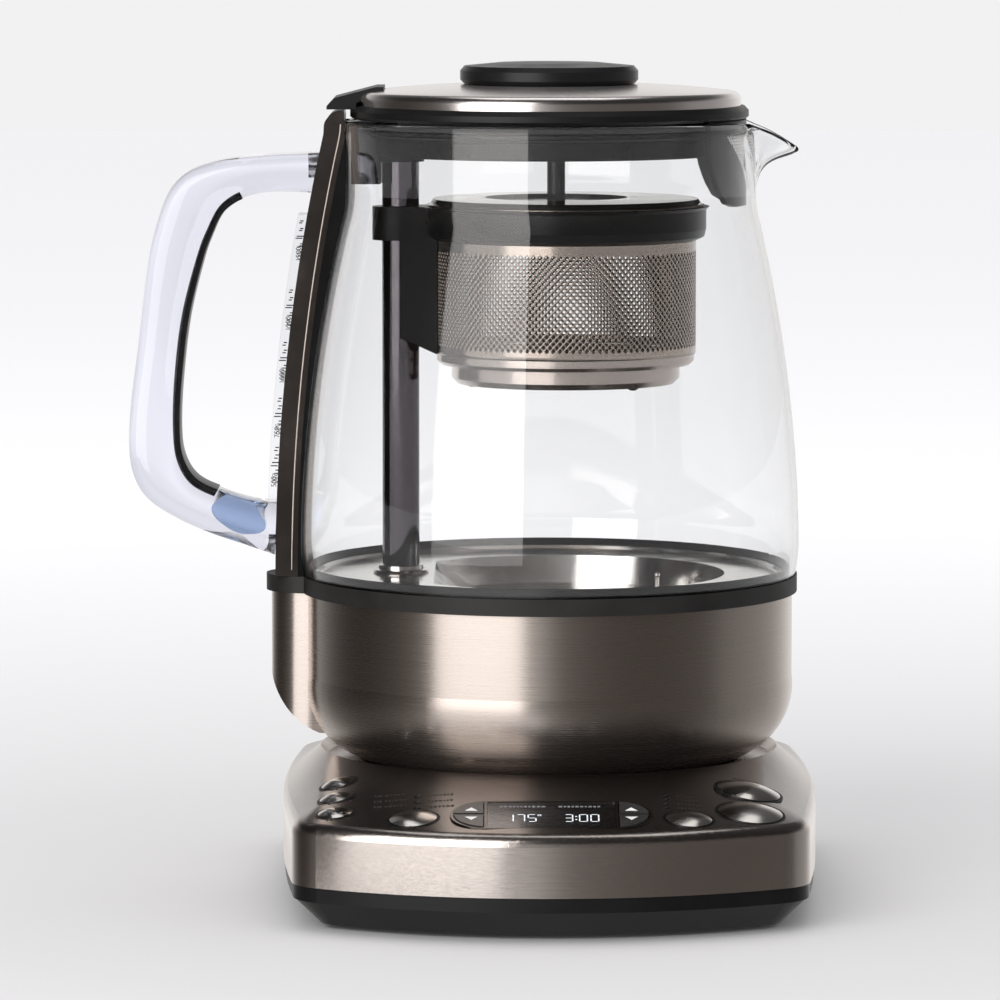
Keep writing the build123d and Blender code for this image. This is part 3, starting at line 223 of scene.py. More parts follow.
# ---------------------------------------------------------------- materials
BLACK = (0.006, 0.006, 0.0065)
M = {
    "shell": brushed("steel_jug_shell"),
    # the cover's top gets a painted shade, its colour darkened by the top side factor 0.42
    "cover": brushed("steel_base_cover", (0.72, 0.655, 0.615), roughness=0.19, axis="X", linear=True,
                     anisotropy=0.7, painted_top_shade=0.42),
    "strap": polished("steel_spine", (0.115, 0.10, 0.092), 0.16),
    "lid": brushed("steel_lid", (0.84, 0.79, 0.77), flat=True, roughness=0.22, anisotropy=0.35),
    "post": polished("steel_post", (0.085, 0.078, 0.085), 0.05),
    "trim": polished("steel_trim", (0.36, 0.31, 0.28), 0.15),
    "bezel": polished("steel_bezel", (0.16, 0.145, 0.135), 0.2),
    "polish": polished("steel_polished"),
    "well": polished("steel_well", (0.78, 0.76, 0.74), 0.14),
    "button": polished("steel_button", (0.66, 0.63, 0.60), 0.16),
    "basket": brushed("steel_basket", (0.50, 0.445, 0.41), 0.24, centre_x=5.2 * MM, anisotropy=0.6),
    "sieve": brushed("steel_sieve", (0.40, 0.345, 0.305), 0.2, centre_x=5.2 * MM, anisotropy=0.5),
    "key": moulded("key_plastic", (0.035, 0.034, 0.034), 0.28, shine=0.5),
    "black": moulded("black_satin_plastic", BLACK, 0.38),
    "inner": moulded("black_inner_plastic", (0.003, 0.003, 0.0032), 0.30, shine=0.2),
    "gloss": moulded("black_gloss_plastic", (0.003, 0.003, 0.0034), 0.08, 400.0, 0.000002, shine=0.2),
    "tray": moulded("black_tray_plastic", (0.007, 0.007, 0.0075), 0.40, 1800.0, 0.00002, shine=0.3),
    "rubber": moulded("black_rubber", (0.017, 0.016, 0.0155), 0.5, shine=0.4),
    "silicone": moulded("dark_silicone", (0.010, 0.010, 0.010), 0.32),
    "grip": moulded("grip_plastic", (0.010, 0.010, 0.011), 0.34),
    "glass": clear("clear_glass", (0.985, 0.99, 0.99), 1.47),
    "acrylic": clear("clear_acrylic", (0.865, 0.87, 0.955), 1.49, 0.00004, 25.0),
    "smoke": clear("smoked_lens", (0.35, 0.36, 0.38), 1.45),
    "lug": clear("tinted_lug", (0.34, 0.46, 0.66), 1.60),
    "lcd": moulded("display_glass", (0.035, 0.04, 0.05), 0.2, 400.0, 0.000002),
    "led": moulded("lamp_lens", (0.012, 0.010, 0.010), 0.15),
    "board": moulded("circuit_board", (0.02, 0.12, 0.05), 0.4),
    "brass": polished("contact_brass", (0.75, 0.58, 0.30), 0.15),
    "zinc": polished("zinc_steel", (0.55, 0.55, 0.56), 0.22),
    "magnet": moulded("magnet_coating", (0.05, 0.05, 0.055), 0.35),
    "motor": polished("motor_can", (0.40, 0.40, 0.41), 0.25),
    "element": polished("element_sheath", (0.5, 0.5, 0.5), 0.3),
    "screen": polished("filter_screen", (0.86, 0.84, 0.82), 0.3),
    "print_dark": moulded("dark_print", (0.03, 0.03, 0.03), 0.5),
    "print_brown": moulded("brown_print", (0.030, 0.024, 0.020), 0.5),
    "print_grey": moulded("grey_print", (0.22, 0.22, 0.23), 0.5),
    "print_white": moulded("white_print", (0.85, 0.85, 0.85), 0.5),
    "strip": clear("level_strip_plastic", (0.93, 0.94, 0.95), 1.45),
    "lit": glowing("lit_segments", (0.80, 0.84, 0.90), 0.55),
}
NODE_LOOK = {
    "base_bottom_housing": "tray", "base_top_cover": "cover", "base_foot_ring": "rubber",
    "base_screws": "zinc", "control_board": "board", "display_module": "lcd", "display_lens": "smoke",
    "display_bezel": "bezel", "button_bezels": "black", "led_lenses": "led", "tact_switches": "black",
    "base_connector": "black", "connector_contacts": "brass", "cord_gland": "rubber", "jug_socket": "black",
    "jug_shell": "shell", "jug_bottom_cover": "black", "heater_plate": "well", "heating_element": "element",
    "temperature_probe": "polish", "inner_gasket": "silicone", "rubber_band": "rubber",
    "glass_body": "glass", "post_tube": "post", "post_flange": "polish", "post_top_bracket": "inner",
    "lift_motor": "motor", "spine_strap": "strap", "spine_core": "inner", "level_strip": "strip",
    "handle": "acrylic", "handle_grip": "grip", "handle_lug": "lug", "handle_screws": "zinc",
    "lead_screw": "zinc", "drive_magnet": "magnet", "basket_carrier": "inner", "carrier_magnet": "magnet",
    "tea_basket": "basket", "basket_base": "basket", "basket_feet": "inner", "basket_lid": "gloss",
    "lid_rim": "black", "lid_top": "lid", "lid_knob": "grip", "lid_skirt": "inner", "lid_seal": "silicone",
    "spout_filter_frame": "black", "spout_filter_mesh": "basket", "key_temp_up": "key",
    "key_temp_down": "key", "key_time_up": "key", "key_time_down": "key",
}
for name, node in NODES.items():
    look = M[NODE_LOOK.get(name, "button")]
    for material_slot in node.material_slots:
        material_slot.material = look
    if not node.material_slots:
        node.data.materials.append(look)


# ---------------------------------------------------------------- mesh helpers, in millimetres
def mesh_object(name, points, faces, look, sharp=35.0):
    """A smooth-shaded mesh object from points in millimetres."""
    mesh = bpy.data.meshes.new(name)
    mesh.from_pydata([(x * MM, y * MM, z * MM) for x, y, z in points], [], faces)
    builder = bmesh.new()
    builder.from_mesh(mesh)
    bmesh.ops.recalc_face_normals(builder, faces=builder.faces)
    builder.to_mesh(mesh)
    builder.free()
    mesh.polygons.foreach_set("use_smooth", [True] * len(mesh.polygons))
    mesh.set_sharp_from_angle(angle=math.radians(sharp))
    mesh.materials.append(M[look])
    obj = bpy.data.objects.new(name, mesh)
    scene.collection.objects.link(obj)
    return obj


def finish_piece(obj, body, slot, *stands_for):
    """Puts a piece on its body and hides the CAD nodes it stands for. Its slot is not used."""
    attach(obj, body)
    if stands_for:
        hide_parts(*stands_for)
    return obj


def skin_faces(rows, columns, closed_rows=True, closed_columns=True):
    """Quads over a grid of points held row by row."""
    faces = []
    for i in range(rows if closed_rows else rows - 1):
        for j in range(columns if closed_columns else columns - 1):
            a, b = i * columns, ((i + 1) % rows) * columns
            k = (j + 1) % columns
            faces.append((a + j, a + k, b + k, b + j))
    return faces


def arc(a, b, c, steps):
    """Points on the circle through three points of the plane, from a to c."""
    (ax, ay), (bx, by), (cx, cy) = a, b, c
    d = 2 * (ax * (by - cy) + bx * (cy - ay) + cx * (ay - by))
    a2, b2, c2 = ax * ax + ay * ay, bx * bx + by * by, cx * cx + cy * cy
    x = (a2 * (by - cy) + b2 * (cy - ay) + c2 * (ay - by)) / d
    y = (a2 * (cx - bx) + b2 * (ax - cx) + c2 * (bx - ax)) / d
    radius = math.hypot(ax - x, ay - y)
    first, last = math.atan2(ay - y, ax - x), math.atan2(cy - y, cx - x)
    sweep = (last - first + math.pi) % (2 * math.pi) - math.pi
    angles = [first + sweep * i / steps for i in range(steps + 1)]
    return [(x + radius * math.cos(angle), y + radius * math.sin(angle)) for angle in angles]


def resampled(path, count):
    """The same polyline through evenly spaced points."""
    lengths = [math.dist(a, b) for a, b in zip(path, path[1:])]
    total, result, index, passed = sum(lengths), [], 0, 0.0
    for i in range(count):
        target = total * i / (count - 1)
        while index < len(lengths) - 1 and passed + lengths[index] < target:
            passed += lengths[index]
            index += 1
        share = (target - passed) / lengths[index] if lengths[index] else 0.0
        result.append(tuple(a + (b - a) * min(1.0, share) for a, b in zip(path[index], path[index + 1])))
    return result


def softened(path, rounds):
    """The polyline with its corners eased, its ends held."""
    for _ in range(rounds):
        middle = [tuple((p + 2 * q + n) / 4 for p, q, n in zip(a, b, c))
                  for a, b, c in zip(path, path[1:], path[2:])]
        path = [path[0], *middle, path[-1]]
    return path


def shifted(path, distance):
    """The polyline moved sideways, to its left for a positive distance."""
    result = []
    for i, (x, y) in enumerate(path):
        (ax, ay), (bx, by) = path[max(0, i - 1)], path[min(len(path) - 1, i + 1)]
        length = math.hypot(bx - ax, by - ay)
        result.append((x - (by - ay) / length * distance, y + (bx - ax) / length * distance))
    return result


def between(stations, at):
    """The second value at a first value, along a list of pairs."""
    for (x0, z0), (x1, z1) in zip(stations, stations[1:]):
        if at <= x1:
            return z0 + (z1 - z0) * (at - x0) / (x1 - x0)
    return stations[-1][1]


def corners(node):
    """Lowest and highest corner of a CAD node, in millimetres."""
    return [[value / MM for value in corner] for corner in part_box(node)]


# ---------------------------------------------------------------- glass with its pulled spout
(glass_low, glass_high) = corners("glass_body")
GLASS_FOOT, GLASS_RIM, GLASS_TIP = glass_low[2], glass_high[2], glass_high[0] - 1.2
GLASS_T, NECK_R, SHOULDER_Z = 1.8, 64.8, 217.0
LIP_FROM_X, LIP_DROP, LIP_SLOPE, LIP_BEND = 58.0, 0.9, 0.19, 0.0145
# the spout's straight sides, seen from above: where they leave the neck, then how far they run and close in
SPOUT_ROOT_X, SPOUT_ROOT_HALF, SPOUT_RUN, SPOUT_CLOSES = 61.3, 21.0, 16.4, 19.6
# its least half width, how far round it reaches, how round its tip is and how softly it leaves the neck
SPOUT_HALF_MIN, SPOUT_TURN, TIP_ROUNDING, SPOUT_EASE, KEEL_TO_LIP = 0.9, 0.6, 120.0, 1.1, 1.35
# the spout's lowest line, as x and height
KEEL = [(60.0, 216.0), (64.9, 218.5), (65.6, 222.3), (67.5, 225.5), (70.5, 227.3), (73.8, 228.4),
        (78.0, 229.6)]
# the rim is lower opposite the spout, where the spine passes over it
NOTCH_TURN, NOTCH_DROP = math.radians(7.6), 3.6
# places on the outer wall, as radius and height
WALL_FOOT, WALL_BULGE, WALL_TAPER = (77.6, 97.5), (78.7, 110.5), (66.3, 207.4)


def lip_height(x):
    """Height of the rim over x: level round the neck, falling towards the spout."""
    past = max(0.0, x - LIP_FROM_X)
    return GLASS_RIM - LIP_DROP - LIP_SLOPE * past - LIP_BEND * past * past


def spout_half_width(x):
    """Half the spout's width over x."""
    return max(SPOUT_HALF_MIN, SPOUT_ROOT_HALF - (x - SPOUT_ROOT_X) * SPOUT_CLOSES / SPOUT_RUN)


def rim_radius(turn):
    """How far the rim stands from the axis, turn radians off the spout."""
    along = Vector((SPOUT_RUN, -SPOUT_CLOSES))
    ray = Vector((math.cos(turn), abs(math.sin(turn))))
    cross = ray.x * along.y - ray.y * along.x
    side = (SPOUT_ROOT_X * along.y - SPOUT_ROOT_HALF * along.x) / cross if abs(turn) < SPOUT_TURN else 0.0
    reach = min(side, GLASS_TIP - TIP_ROUNDING * (turn * turn))
    return NECK_R + SPOUT_EASE * math.log1p(math.exp(min(40.0, (reach - NECK_R) / SPOUT_EASE)))


def wall_path(turn):
    """The glass's outer wall at one angle, from its foot to its rim, as radius and height."""
    path = [(77.1, GLASS_FOOT), WALL_FOOT]
    path += arc(WALL_FOOT, (78.5, 103.5), WALL_BULGE, 5)[1:]
    path += arc(WALL_BULGE, (74.8, 161.4), WALL_TAPER, 22)[1:]
    path += arc(WALL_TAPER, (65.2, 212.0), (NECK_R, SHOULDER_Z), 4)[1:]
    end = rim_radius(turn)
    rim_z = lip_height(end * math.cos(turn))
    if abs(abs(turn) - math.pi) < NOTCH_TURN:
        rim_z -= NOTCH_DROP

    def surface(radius):
        """Height of the spout's wall at a radius: up its side from the keel to the lip."""
        x, y = radius * math.cos(turn), radius * abs(math.sin(turn))
        share = min(1.0, y / spout_half_width(x)) if x > 0 else 1.0
        keel = between(KEEL, max(x, KEEL[0][0])) if x > 0 else rim_z
        return keel + (lip_height(x) - keel) * share ** KEEL_TO_LIP

    radii = [NECK_R + (end - NECK_R) * i / 12 for i in range(12)]
    flare = [(radius, min(rim_z, surface(radius))) for radius in radii] + [(end, rim_z)]
    start = max(SHOULDER_Z + 0.5, min(flare[0][1], rim_z - 1.0))
    upper = [(NECK_R, SHOULDER_Z), (NECK_R, start)] + [p for p in flare if p[1] > start]
    return path[:-1] + softened(resampled(upper, 22), 3)


def glass_ring(turn):
    """One closed loop round the wall's thickness at an angle, with a rounded rim."""
    outer = wall_path(turn)
    inner = shifted(outer, GLASS_T)
    (ox, oz), (ix, iz), (px, pz) = outer[-1], inner[-1], outer[-2]
    length = math.hypot(ox - px, oz - pz)
    lift = GLASS_T / 2 / length
    crown = []
    for i in range(1, 6):
        angle = math.pi * i / 6
        half, rise = (1 - math.cos(angle)) / 2, math.sin(angle) * lift
        crown.append((ox + (ix - ox) * half + (ox - px) * rise, oz + (iz - oz) * half + (oz - pz) * rise))
    return outer + crown + inner[::-1]


# half-degree steps round the spout, wider ones elsewhere, and both sides of the notch opposite it
turns = [math.radians(a / 2) for a in range(-60, 60)]
turns += [math.radians(30 + a * 2.5) for a in range(120) if abs(30 + a * 2.5 - 180) > 8]
turns += [math.radians(180 + a) for a in (-7.8, -7.5, -5, 0, 5, 7.5, 7.8)]
points = []
for turn in sorted(turns):
    turn = (turn + math.pi) % (2 * math.pi) - math.pi
    loop = glass_ring(turn)
    points += [(r * math.cos(turn), r * math.sin(turn), z) for r, z in loop]
glass = mesh_object("glass_jug_wall", points, skin_faces(len(turns), len(loop)), "glass", 60)
finish_piece(glass, "jug", "clear_glass", "glass_body")


# ---------------------------------------------------------------- perforated sheet
def perforated(radius, centre, first, last, low, rows, pitch_turn, row_height, hole, wanted=None):
    """Points and faces of a sheet bent round an axis, with staggered round holes.

    The sheet runs from turn first to turn last in steps of pitch_turn and has rows of holes upwards from low.
    The points between holes are also given by their column and row.
    """
    points, faces, known = [], [], {}
    whole = last - first > 2 * math.pi - 0.01
    count = round((last - first) / pitch_turn)

    def corner(column, row):
        """A point at half pitches along and whole rows up, shared by its neighbours."""
        key = (column % (2 * count) if whole else column, row)
        if key not in known:
            known[key] = len(points)
            turn = first + column * pitch_turn / 2
            points.append((centre + radius * math.cos(turn), radius * math.sin(turn), low + row * row_height))
        return known[key]

    for row in range(rows):
        for index in range(count):
            column = 2 * index + row % 2
            turn, height = first + column * pitch_turn / 2, low + row * row_height
            if wanted is not None and not wanted(turn, height):
                continue
            ends = [corner(column + 1, row), corner(column, row + 1)]
            ends += [corner(column - 1, row), corner(column, row - 1)]
            start = len(points)
            for i in range(8):
                angle = math.pi * i / 4
                along = turn + hole * math.cos(angle) / radius
                points.append((centre + radius * math.cos(along), radius * math.sin(along),
                               height + hole * math.sin(angle)))
            for i in range(4):
                ring = [start + (2 * i + k) % 8 for k in (2, 1, 0)]
                faces.append((ends[i], ends[(i + 1) % 4], *ring))
    return points, faces, known


(basket_low, basket_high) = corners("tea_basket")
BASKET_X = (basket_low[0] + basket_high[0]) / 2
BASKET_R, HOLE_COLUMNS, HOLE_ROWS, ROW_H, HOLE_R = 40.4, 124, 27, 1.1, 0.54
HOLE_LOW = basket_low[2] + 3.2
points, faces, known = perforated(BASKET_R, BASKET_X, 0.0, 2 * math.pi, HOLE_LOW, HOLE_ROWS,
                                  2 * math.pi / HOLE_COLUMNS, ROW_H, HOLE_R)
# plain bands below and above the holes, and the flange, as radius and height
lower_band = [(BASKET_R, basket_low[2] + 1.2), (BASKET_R, basket_low[2])]
upper_band = [(BASKET_R, HOLE_LOW + HOLE_ROWS * ROW_H + 2), (BASKET_R, basket_high[2] - 1.2),
              (BASKET_R + 0.5, basket_high[2] - 0.2), (basket_high[0] - BASKET_X - 0.3, basket_high[2])]
for edge_row, next_row, band in ((-1, 0, lower_band), (HOLE_ROWS, HOLE_ROWS - 1, upper_band)):
    parity, count = next_row % 2, HOLE_COLUMNS
    rim = [known[((2 * i + parity) % (2 * count), edge_row)] for i in range(count)]
    inner = [known[((2 * i + 1 + parity) % (2 * count), next_row)] for i in range(count)]
    faces += [(rim[i], inner[i], rim[(i + 1) % count]) for i in range(count)]
    for radius, height in band:
        start = len(points)
        for i in range(count):
            turn = (2 * i + parity) * math.pi / count
            points.append((BASKET_X + radius * math.cos(turn), radius * math.sin(turn), height))
        ring = list(range(start, start + count))
        faces += [(rim[i], rim[(i + 1) % count], ring[(i + 1) % count], ring[i]) for i in range(count)]
        rim = ring
basket = mesh_object("perforated_basket", points, faces, "sieve")
thick = basket.modifiers.new("thickness", "SOLIDIFY")
thick.thickness = 0.5 * MM
thick.offset = -1.0
finish_piece(basket, "carriage", "steel_perforated", "tea_basket")

# spout filter: a curved frame with a window in it, and a fine sheet across the window
(mesh_low, mesh_high) = corners("spout_filter_mesh")
(bow_low, bow_high) = corners("spout_filter_frame")
FILTER_R, BOW_OUT, BOW_IN = 60.8, bow_high[0], bow_high[0] - 1.8
MESH_PITCH, MESH_ROW, MESH_HOLE_R, MESH_TURN = 1.9, 1.05, 0.44, 0.55
WINDOW_LOW, WINDOW_HIGH, WINDOW_NARROW, WINDOW_WIDE = mesh_low[2] + 2.4, mesh_high[2] + 0.6, 11.5, 31.5
MESH_TUCK, JUST_INSIDE = 0.8, 0.999
# the frame's lower edge, as distance to the side and height
BOW_FOOT = [(0.0, bow_low[2]), (25.0, bow_low[2]), (30.0, 215.0), (34.0, 219.2), (36.6, 224.5), (38.0, 229.0)]


def window_half(height):
    """Half the window's width at a height."""
    share = (height - WINDOW_LOW) / (WINDOW_HIGH - WINDOW_LOW)
    return WINDOW_NARROW + (WINDOW_WIDE - WINDOW_NARROW) * share


def in_filter(turn, height):
    """Whether a hole of the fine sheet is in the window or tucked just behind its edge."""
    return abs(FILTER_R * math.sin(turn)) < window_half(height) + MESH_TUCK


def curved_band(stations):
    """A closed band of the frame: each station is a turn with its low and high edge."""
    points = []
    for turn, low, high in stations:
        for radius, z in ((BOW_OUT, low), (BOW_OUT, high), (BOW_IN, high), (BOW_IN, low)):
            points.append((radius * math.cos(turn), radius * math.sin(turn), z))
    last = 4 * len(stations) - 4
    faces = skin_faces(len(stations), 4, closed_rows=False)
    return points, faces + [(0, 1, 2, 3), (last + 3, last + 2, last + 1, last)]


def bow_turn(side_y):
    """The turn at which the frame's outside is this far to the side."""
    return math.asin(side_y / BOW_OUT)


bow_points, bow_faces = [], []
edges = [BOW_FOOT[-1][0] * i / 24 for i in range(-24, 25)]
lower = []
for side_y in sorted(edges + [-WINDOW_WIDE, WINDOW_WIDE]):
    turn, foot = bow_turn(side_y), between(BOW_FOOT, abs(side_y))
    if abs(side_y) == WINDOW_WIDE:
        pair = [(turn, foot, bow_high[2]), (turn * JUST_INSIDE, foot, WINDOW_HIGH)]
        lower += pair if side_y < 0 else pair[::-1]
    elif abs(side_y) > WINDOW_WIDE:
        lower.append((turn, foot, bow_high[2]))
    else:
        climb = (WINDOW_HIGH - WINDOW_LOW) * max(0.0, abs(side_y) - WINDOW_NARROW)
        sill = WINDOW_LOW + climb / (WINDOW_WIDE - WINDOW_NARROW)
        lower.append((turn, foot, min(sill, WINDOW_HIGH)))
upper = [(bow_turn(WINDOW_WIDE) * i / 16, WINDOW_HIGH, bow_high[2]) for i in range(-16, 17)]
for band in (lower, upper):
    band_points, band_faces = curved_band(band)
    start = len(bow_points)
    bow_points += band_points
    bow_faces += [tuple(start + v for v in face) for face in band_faces]
bow = mesh_object("spout_filter_bow", bow_points, bow_faces, "inner")
finish_piece(bow, "lid", "black_plastic", "spout_filter_frame")

mesh_rows = int((mesh_high[2] - mesh_low[2] + 1.2) / MESH_ROW)
points, faces, _ = perforated(FILTER_R, 0.0, -MESH_TURN, MESH_TURN, mesh_low[2] - 0.4, mesh_rows,
                              MESH_PITCH / FILTER_R, MESH_ROW, MESH_HOLE_R, in_filter)
screen = mesh_object("spout_filter_screen", points, faces, "screen")
thick = screen.modifiers.new("thickness", "SOLIDIFY")
thick.thickness = 0.25 * MM
thick.offset = 0.0
finish_piece(screen, "lid", "steel_perforated", "spout_filter_mesh")


# ---------------------------------------------------------------- lid top and spine trim
def lathed(name, outline, look, steps=180):
    """A closed outline of radius and height turned round the vertical axis."""
    points = [(r * math.cos(2 * math.pi * i / steps), r * math.sin(2 * math.pi * i / steps), z)
              for i in range(steps) for r, z in outline]
    return mesh_object(name, points, skin_faces(steps, len(outline)), look, 40)


(top_low, top_high) = corners("lid_top")
TOP_T, TOP_CROWN = 0.8, top_high[2] + 1.4
outside = arc((3.2, TOP_CROWN), (38.0, TOP_CROWN - 0.3), (57.6, TOP_CROWN - 2.0), 16)
outside += arc((57.6, TOP_CROWN - 2.0), (59.4, TOP_CROWN - 2.9), (top_high[0], TOP_CROWN - 4.6), 8)[1:]
outside.append((top_high[0], top_low[2]))
lid_top = lathed("lid_brushed_top", outside + shifted(outside, -TOP_T)[::-1], "lid")
finish_piece(lid_top, "lid", "steel_brushed", "lid_top")

# a thin bright bead along each side of the spine
strap = NODES["spine_strap"]
BEAD_IN, BEAD_R, BEAD_STEPS = 5.2, 0.26, 60
(strap_low, strap_high) = corners("spine_strap")
for side in (-1, 1):
    points = []
    for i in range(BEAD_STEPS):
        z = strap_low[2] + 2.0 + (strap_high[2] - strap_low[2] - 6.0) * i / (BEAD_STEPS - 1)
        from_outside = Vector((-0.2, side * (strap_high[1] - 0.4) * MM, z * MM))
        _, place, _, _ = strap.ray_cast(from_outside, Vector((1, 0, 0)))
        for k in range(8):
            angle = math.pi * k / 4
            points.append((place.x / MM + BEAD_IN + BEAD_R * math.cos(angle),
                           side * (strap_high[1] - 0.1) + BEAD_R * math.sin(angle), z))
    faces = skin_faces(BEAD_STEPS, 8, closed_rows=False)
    faces += [tuple(range(8)), tuple(range(8 * BEAD_STEPS - 8, 8 * BEAD_STEPS))]
    bead = mesh_object(f"spine_bead_{'front' if side < 0 else 'back'}", points, faces, "trim")
    finish_piece(bead, "jug", "steel_polished")

# the handle's screws, only their heads and the start of their shanks
screw_points = [v.co / MM for v in NODES["handle_screws"].data.vertices]
SCREW_HEAD_T, SCREW_SHOWN, SCREW_R = 2.0, 8.0, 1.9
BETWEEN_SCREWS_Z = 170.0
points, faces = [], []
for is_upper in (False, True):
    own = [p for p in screw_points if (p.z > BETWEEN_SCREWS_Z) == is_upper]
    middle_z = (min(p.z for p in own) + max(p.z for p in own)) / 2
    head_x, head_r = max(p.x for p in own), (max(p.z for p in own) - min(p.z for p in own)) / 2
    head_end, shank_end = head_x - SCREW_HEAD_T, head_x - SCREW_SHOWN
    outline = [(head_x, 0.01), (head_x, head_r * 0.85), (head_x - 0.5, head_r), (head_end, head_r),
               (head_end, SCREW_R), (shank_end, SCREW_R), (shank_end, 0.01)]
    start = len(points)
    points += [(x, r * math.cos(math.pi * i / 12), middle_z + r * math.sin(math.pi * i / 12))
               for i in range(24) for x, r in outline]
    faces += [tuple(start + v for v in face) for face in skin_faces(24, len(outline), closed_columns=False)]
screws = mesh_object("handle_screw_heads", points, faces, "zinc")
finish_piece(screws, "jug", "zinc_screw", "handle_screws")


# ---------------------------------------------------------------- handle loop and its grip
def smooth_curve(stations, count):
    """A smooth curve through points of the plane, evenly spaced."""
    fine = []
    padded = [stations[0], *stations, stations[-1]]
    for a, b, c, d in zip(padded, padded[1:], padded[2:], padded[3:]):
        for i in range(12):
            t = i / 12
            fine.append(tuple(0.5 * (2 * q + (r - p) * t + (2 * p - 5 * q + 4 * r - s) * t * t
                                     + (3 * q - p - 3 * r + s) * t ** 3) for p, q, r, s in zip(a, b, c, d)))
    return softened(resampled(fine + [stations[-1]], count), 2)


OUTER_LOOP = [(-70.9, 229.9), (-83.8, 229.4), (-97.0, 228.3), (-105.7, 226.8), (-113.0, 224.0),
              (-118.0, 219.3), (-121.4, 212.0), (-125.4, 196.6), (-128.6, 170.6), (-131.0, 152.7),
              (-131.9, 139.0), (-130.6, 129.0), (-126.0, 121.2), (-116.5, 115.0), (-105.8, 110.3),
              (-95.6, 106.9), (-86.2, 103.6)]
INNER_LOOP = [(-74.6, 217.4), (-80.5, 217.7), (-88.0, 217.6), (-94.7, 216.2), (-99.4, 213.8),
              (-102.8, 210.4), (-105.6, 204.3), (-108.3, 197.0), (-112.9, 178.4), (-115.3, 158.8),
              (-116.0, 144.0), (-115.0, 134.6), (-110.8, 127.6), (-102.6, 123.6), (-95.4, 121.2),
              (-90.0, 120.2), (-85.3, 120.0)]
LOOP_STEPS = 120
outer_loop = smooth_curve(OUTER_LOOP, LOOP_STEPS)
inner_loop = smooth_curve(INNER_LOOP, LOOP_STEPS)


def rounded_section(half_width, thickness, corner, steps=5):
    """A rounded rectangle, as pairs of depth in from the outside and distance to the side."""
    ring = []
    for cx, cy, start in ((thickness - corner, half_width - corner, 0), (corner, half_width - corner, 90),
                          (corner, corner - half_width, 180), (thickness - corner, corner - half_width, 270)):
        for i in range(steps + 1):
            angle = math.radians(start + 90 * i / steps)
            ring.append((cx + corner * math.cos(angle), cy + corner * math.sin(angle)))
    return ring


def swept_loop(name, near, far, half_width, corner, look):
    """A bar that fills the space between two curves of the plane, capped at both ends."""
    points, size = [], 0
    for (ox, oz), (ix, iz) in zip(near, far):
        thickness = math.hypot(ix - ox, iz - oz)
        ux, uz = (ix - ox) / thickness, (iz - oz) / thickness
        section = rounded_section(half_width, thickness, min(corner, thickness * 0.45))
        size = len(section)
        points += [(ox + ux * depth, side, oz + uz * depth) for depth, side in section]
    rows = len(near)
    faces = skin_faces(rows, size, closed_rows=False)
    faces += [tuple(range(size)), tuple(range((rows - 1) * size, rows * size))]
    return mesh_object(name, points, faces, look, 60)


handle = swept_loop("clear_handle_loop", outer_loop, inner_loop, 10.5, 4.3, "acrylic")
finish_piece(handle, "jug", "clear_acrylic", "handle")

# the dark strip along the inside of the loop
GRIP_FROM_X, GRIP_STOPS_SHORT, GRIP_PROUD, GRIP_SUNK = -95.0, 6, 0.25, 2.6
reach = [i for i, (x, _) in enumerate(inner_loop) if x < GRIP_FROM_X]
grip_in, grip_out = [], []
for i in range(reach[0], reach[-1] - GRIP_STOPS_SHORT):
    (ix, iz), (ox, oz) = inner_loop[i], outer_loop[i]
    length = math.hypot(ix - ox, iz - oz)
    ux, uz = (ix - ox) / length, (iz - oz) / length
    grip_in.append((ix + GRIP_PROUD * ux, iz + GRIP_PROUD * uz))
    grip_out.append((ix - GRIP_SUNK * ux, iz - GRIP_SUNK * uz))
grip = swept_loop("handle_grip_strip", grip_out, grip_in, 8.8, 1.1, "grip")
finish_piece(grip, "jug", "black_plastic", "handle_grip")


# ---------------------------------------------------------------- display and panel marks
def flat_patch(name, shapes, look, body, slot, thickness=0.12):
    """Thin raised marks: each shape is a list of corners already in place, with its own up direction."""
    points, faces = [], []
    for corners_3d, up in shapes:
        start, size = len(points), len(corners_3d)
        lifted = [Vector(c) + Vector(up) * thickness for c in corners_3d]
        points += [tuple(c) for c in corners_3d] + [tuple(c) for c in lifted]
        faces.append(tuple(range(start, start + size)))
        faces.append(tuple(range(start + size, start + 2 * size)))
        faces += [(start + i, start + (i + 1) % size, start + size + (i + 1) % size, start + size + i)
                  for i in range(size)]
    obj = mesh_object(name, points, faces, look, 20)
    return finish_piece(obj, body, slot)


lens = NODES["display_lens"].data
facing = max(lens.polygons, key=lambda f: f.area * f.normal.z)
DISPLAY_UP = facing.normal.normalized()
SAME_WAY = 0.999
top_faces = [f for f in lens.polygons if f.normal.dot(DISPLAY_UP) > SAME_WAY]
lens_points = [lens.vertices[i].co / MM for f in top_faces for i in f.vertices]
DISPLAY_RIGHT = Vector((1, 0, 0))
DISPLAY_BACK = DISPLAY_UP.cross(DISPLAY_RIGHT).normalized()
middle_x = (min(p.x for p in lens_points) + max(p.x for p in lens_points)) / 2
middle_y = (min(p.y for p in lens_points) + max(p.y for p in lens_points)) / 2
middle_z = (lens_points[0].dot(DISPLAY_UP) - middle_y * DISPLAY_UP.y) / DISPLAY_UP.z
DISPLAY_MID = Vector((middle_x, middle_y, middle_z))


def on_display(outline, lift=0.03):
    """A flat outline given across and up the display, in place on its lens."""
    placed = [DISPLAY_MID + DISPLAY_RIGHT * x + DISPLAY_BACK * y + DISPLAY_UP * lift for x, y in outline]
    return placed, DISPLAY_UP


def bar(x, y, width, height):
    """The corners of an upright rectangle round a point."""
    left, right, low, high = x - width / 2, x + width / 2, y - height / 2, y + height / 2
    return [(left, low), (right, low), (right, high), (left, high)]


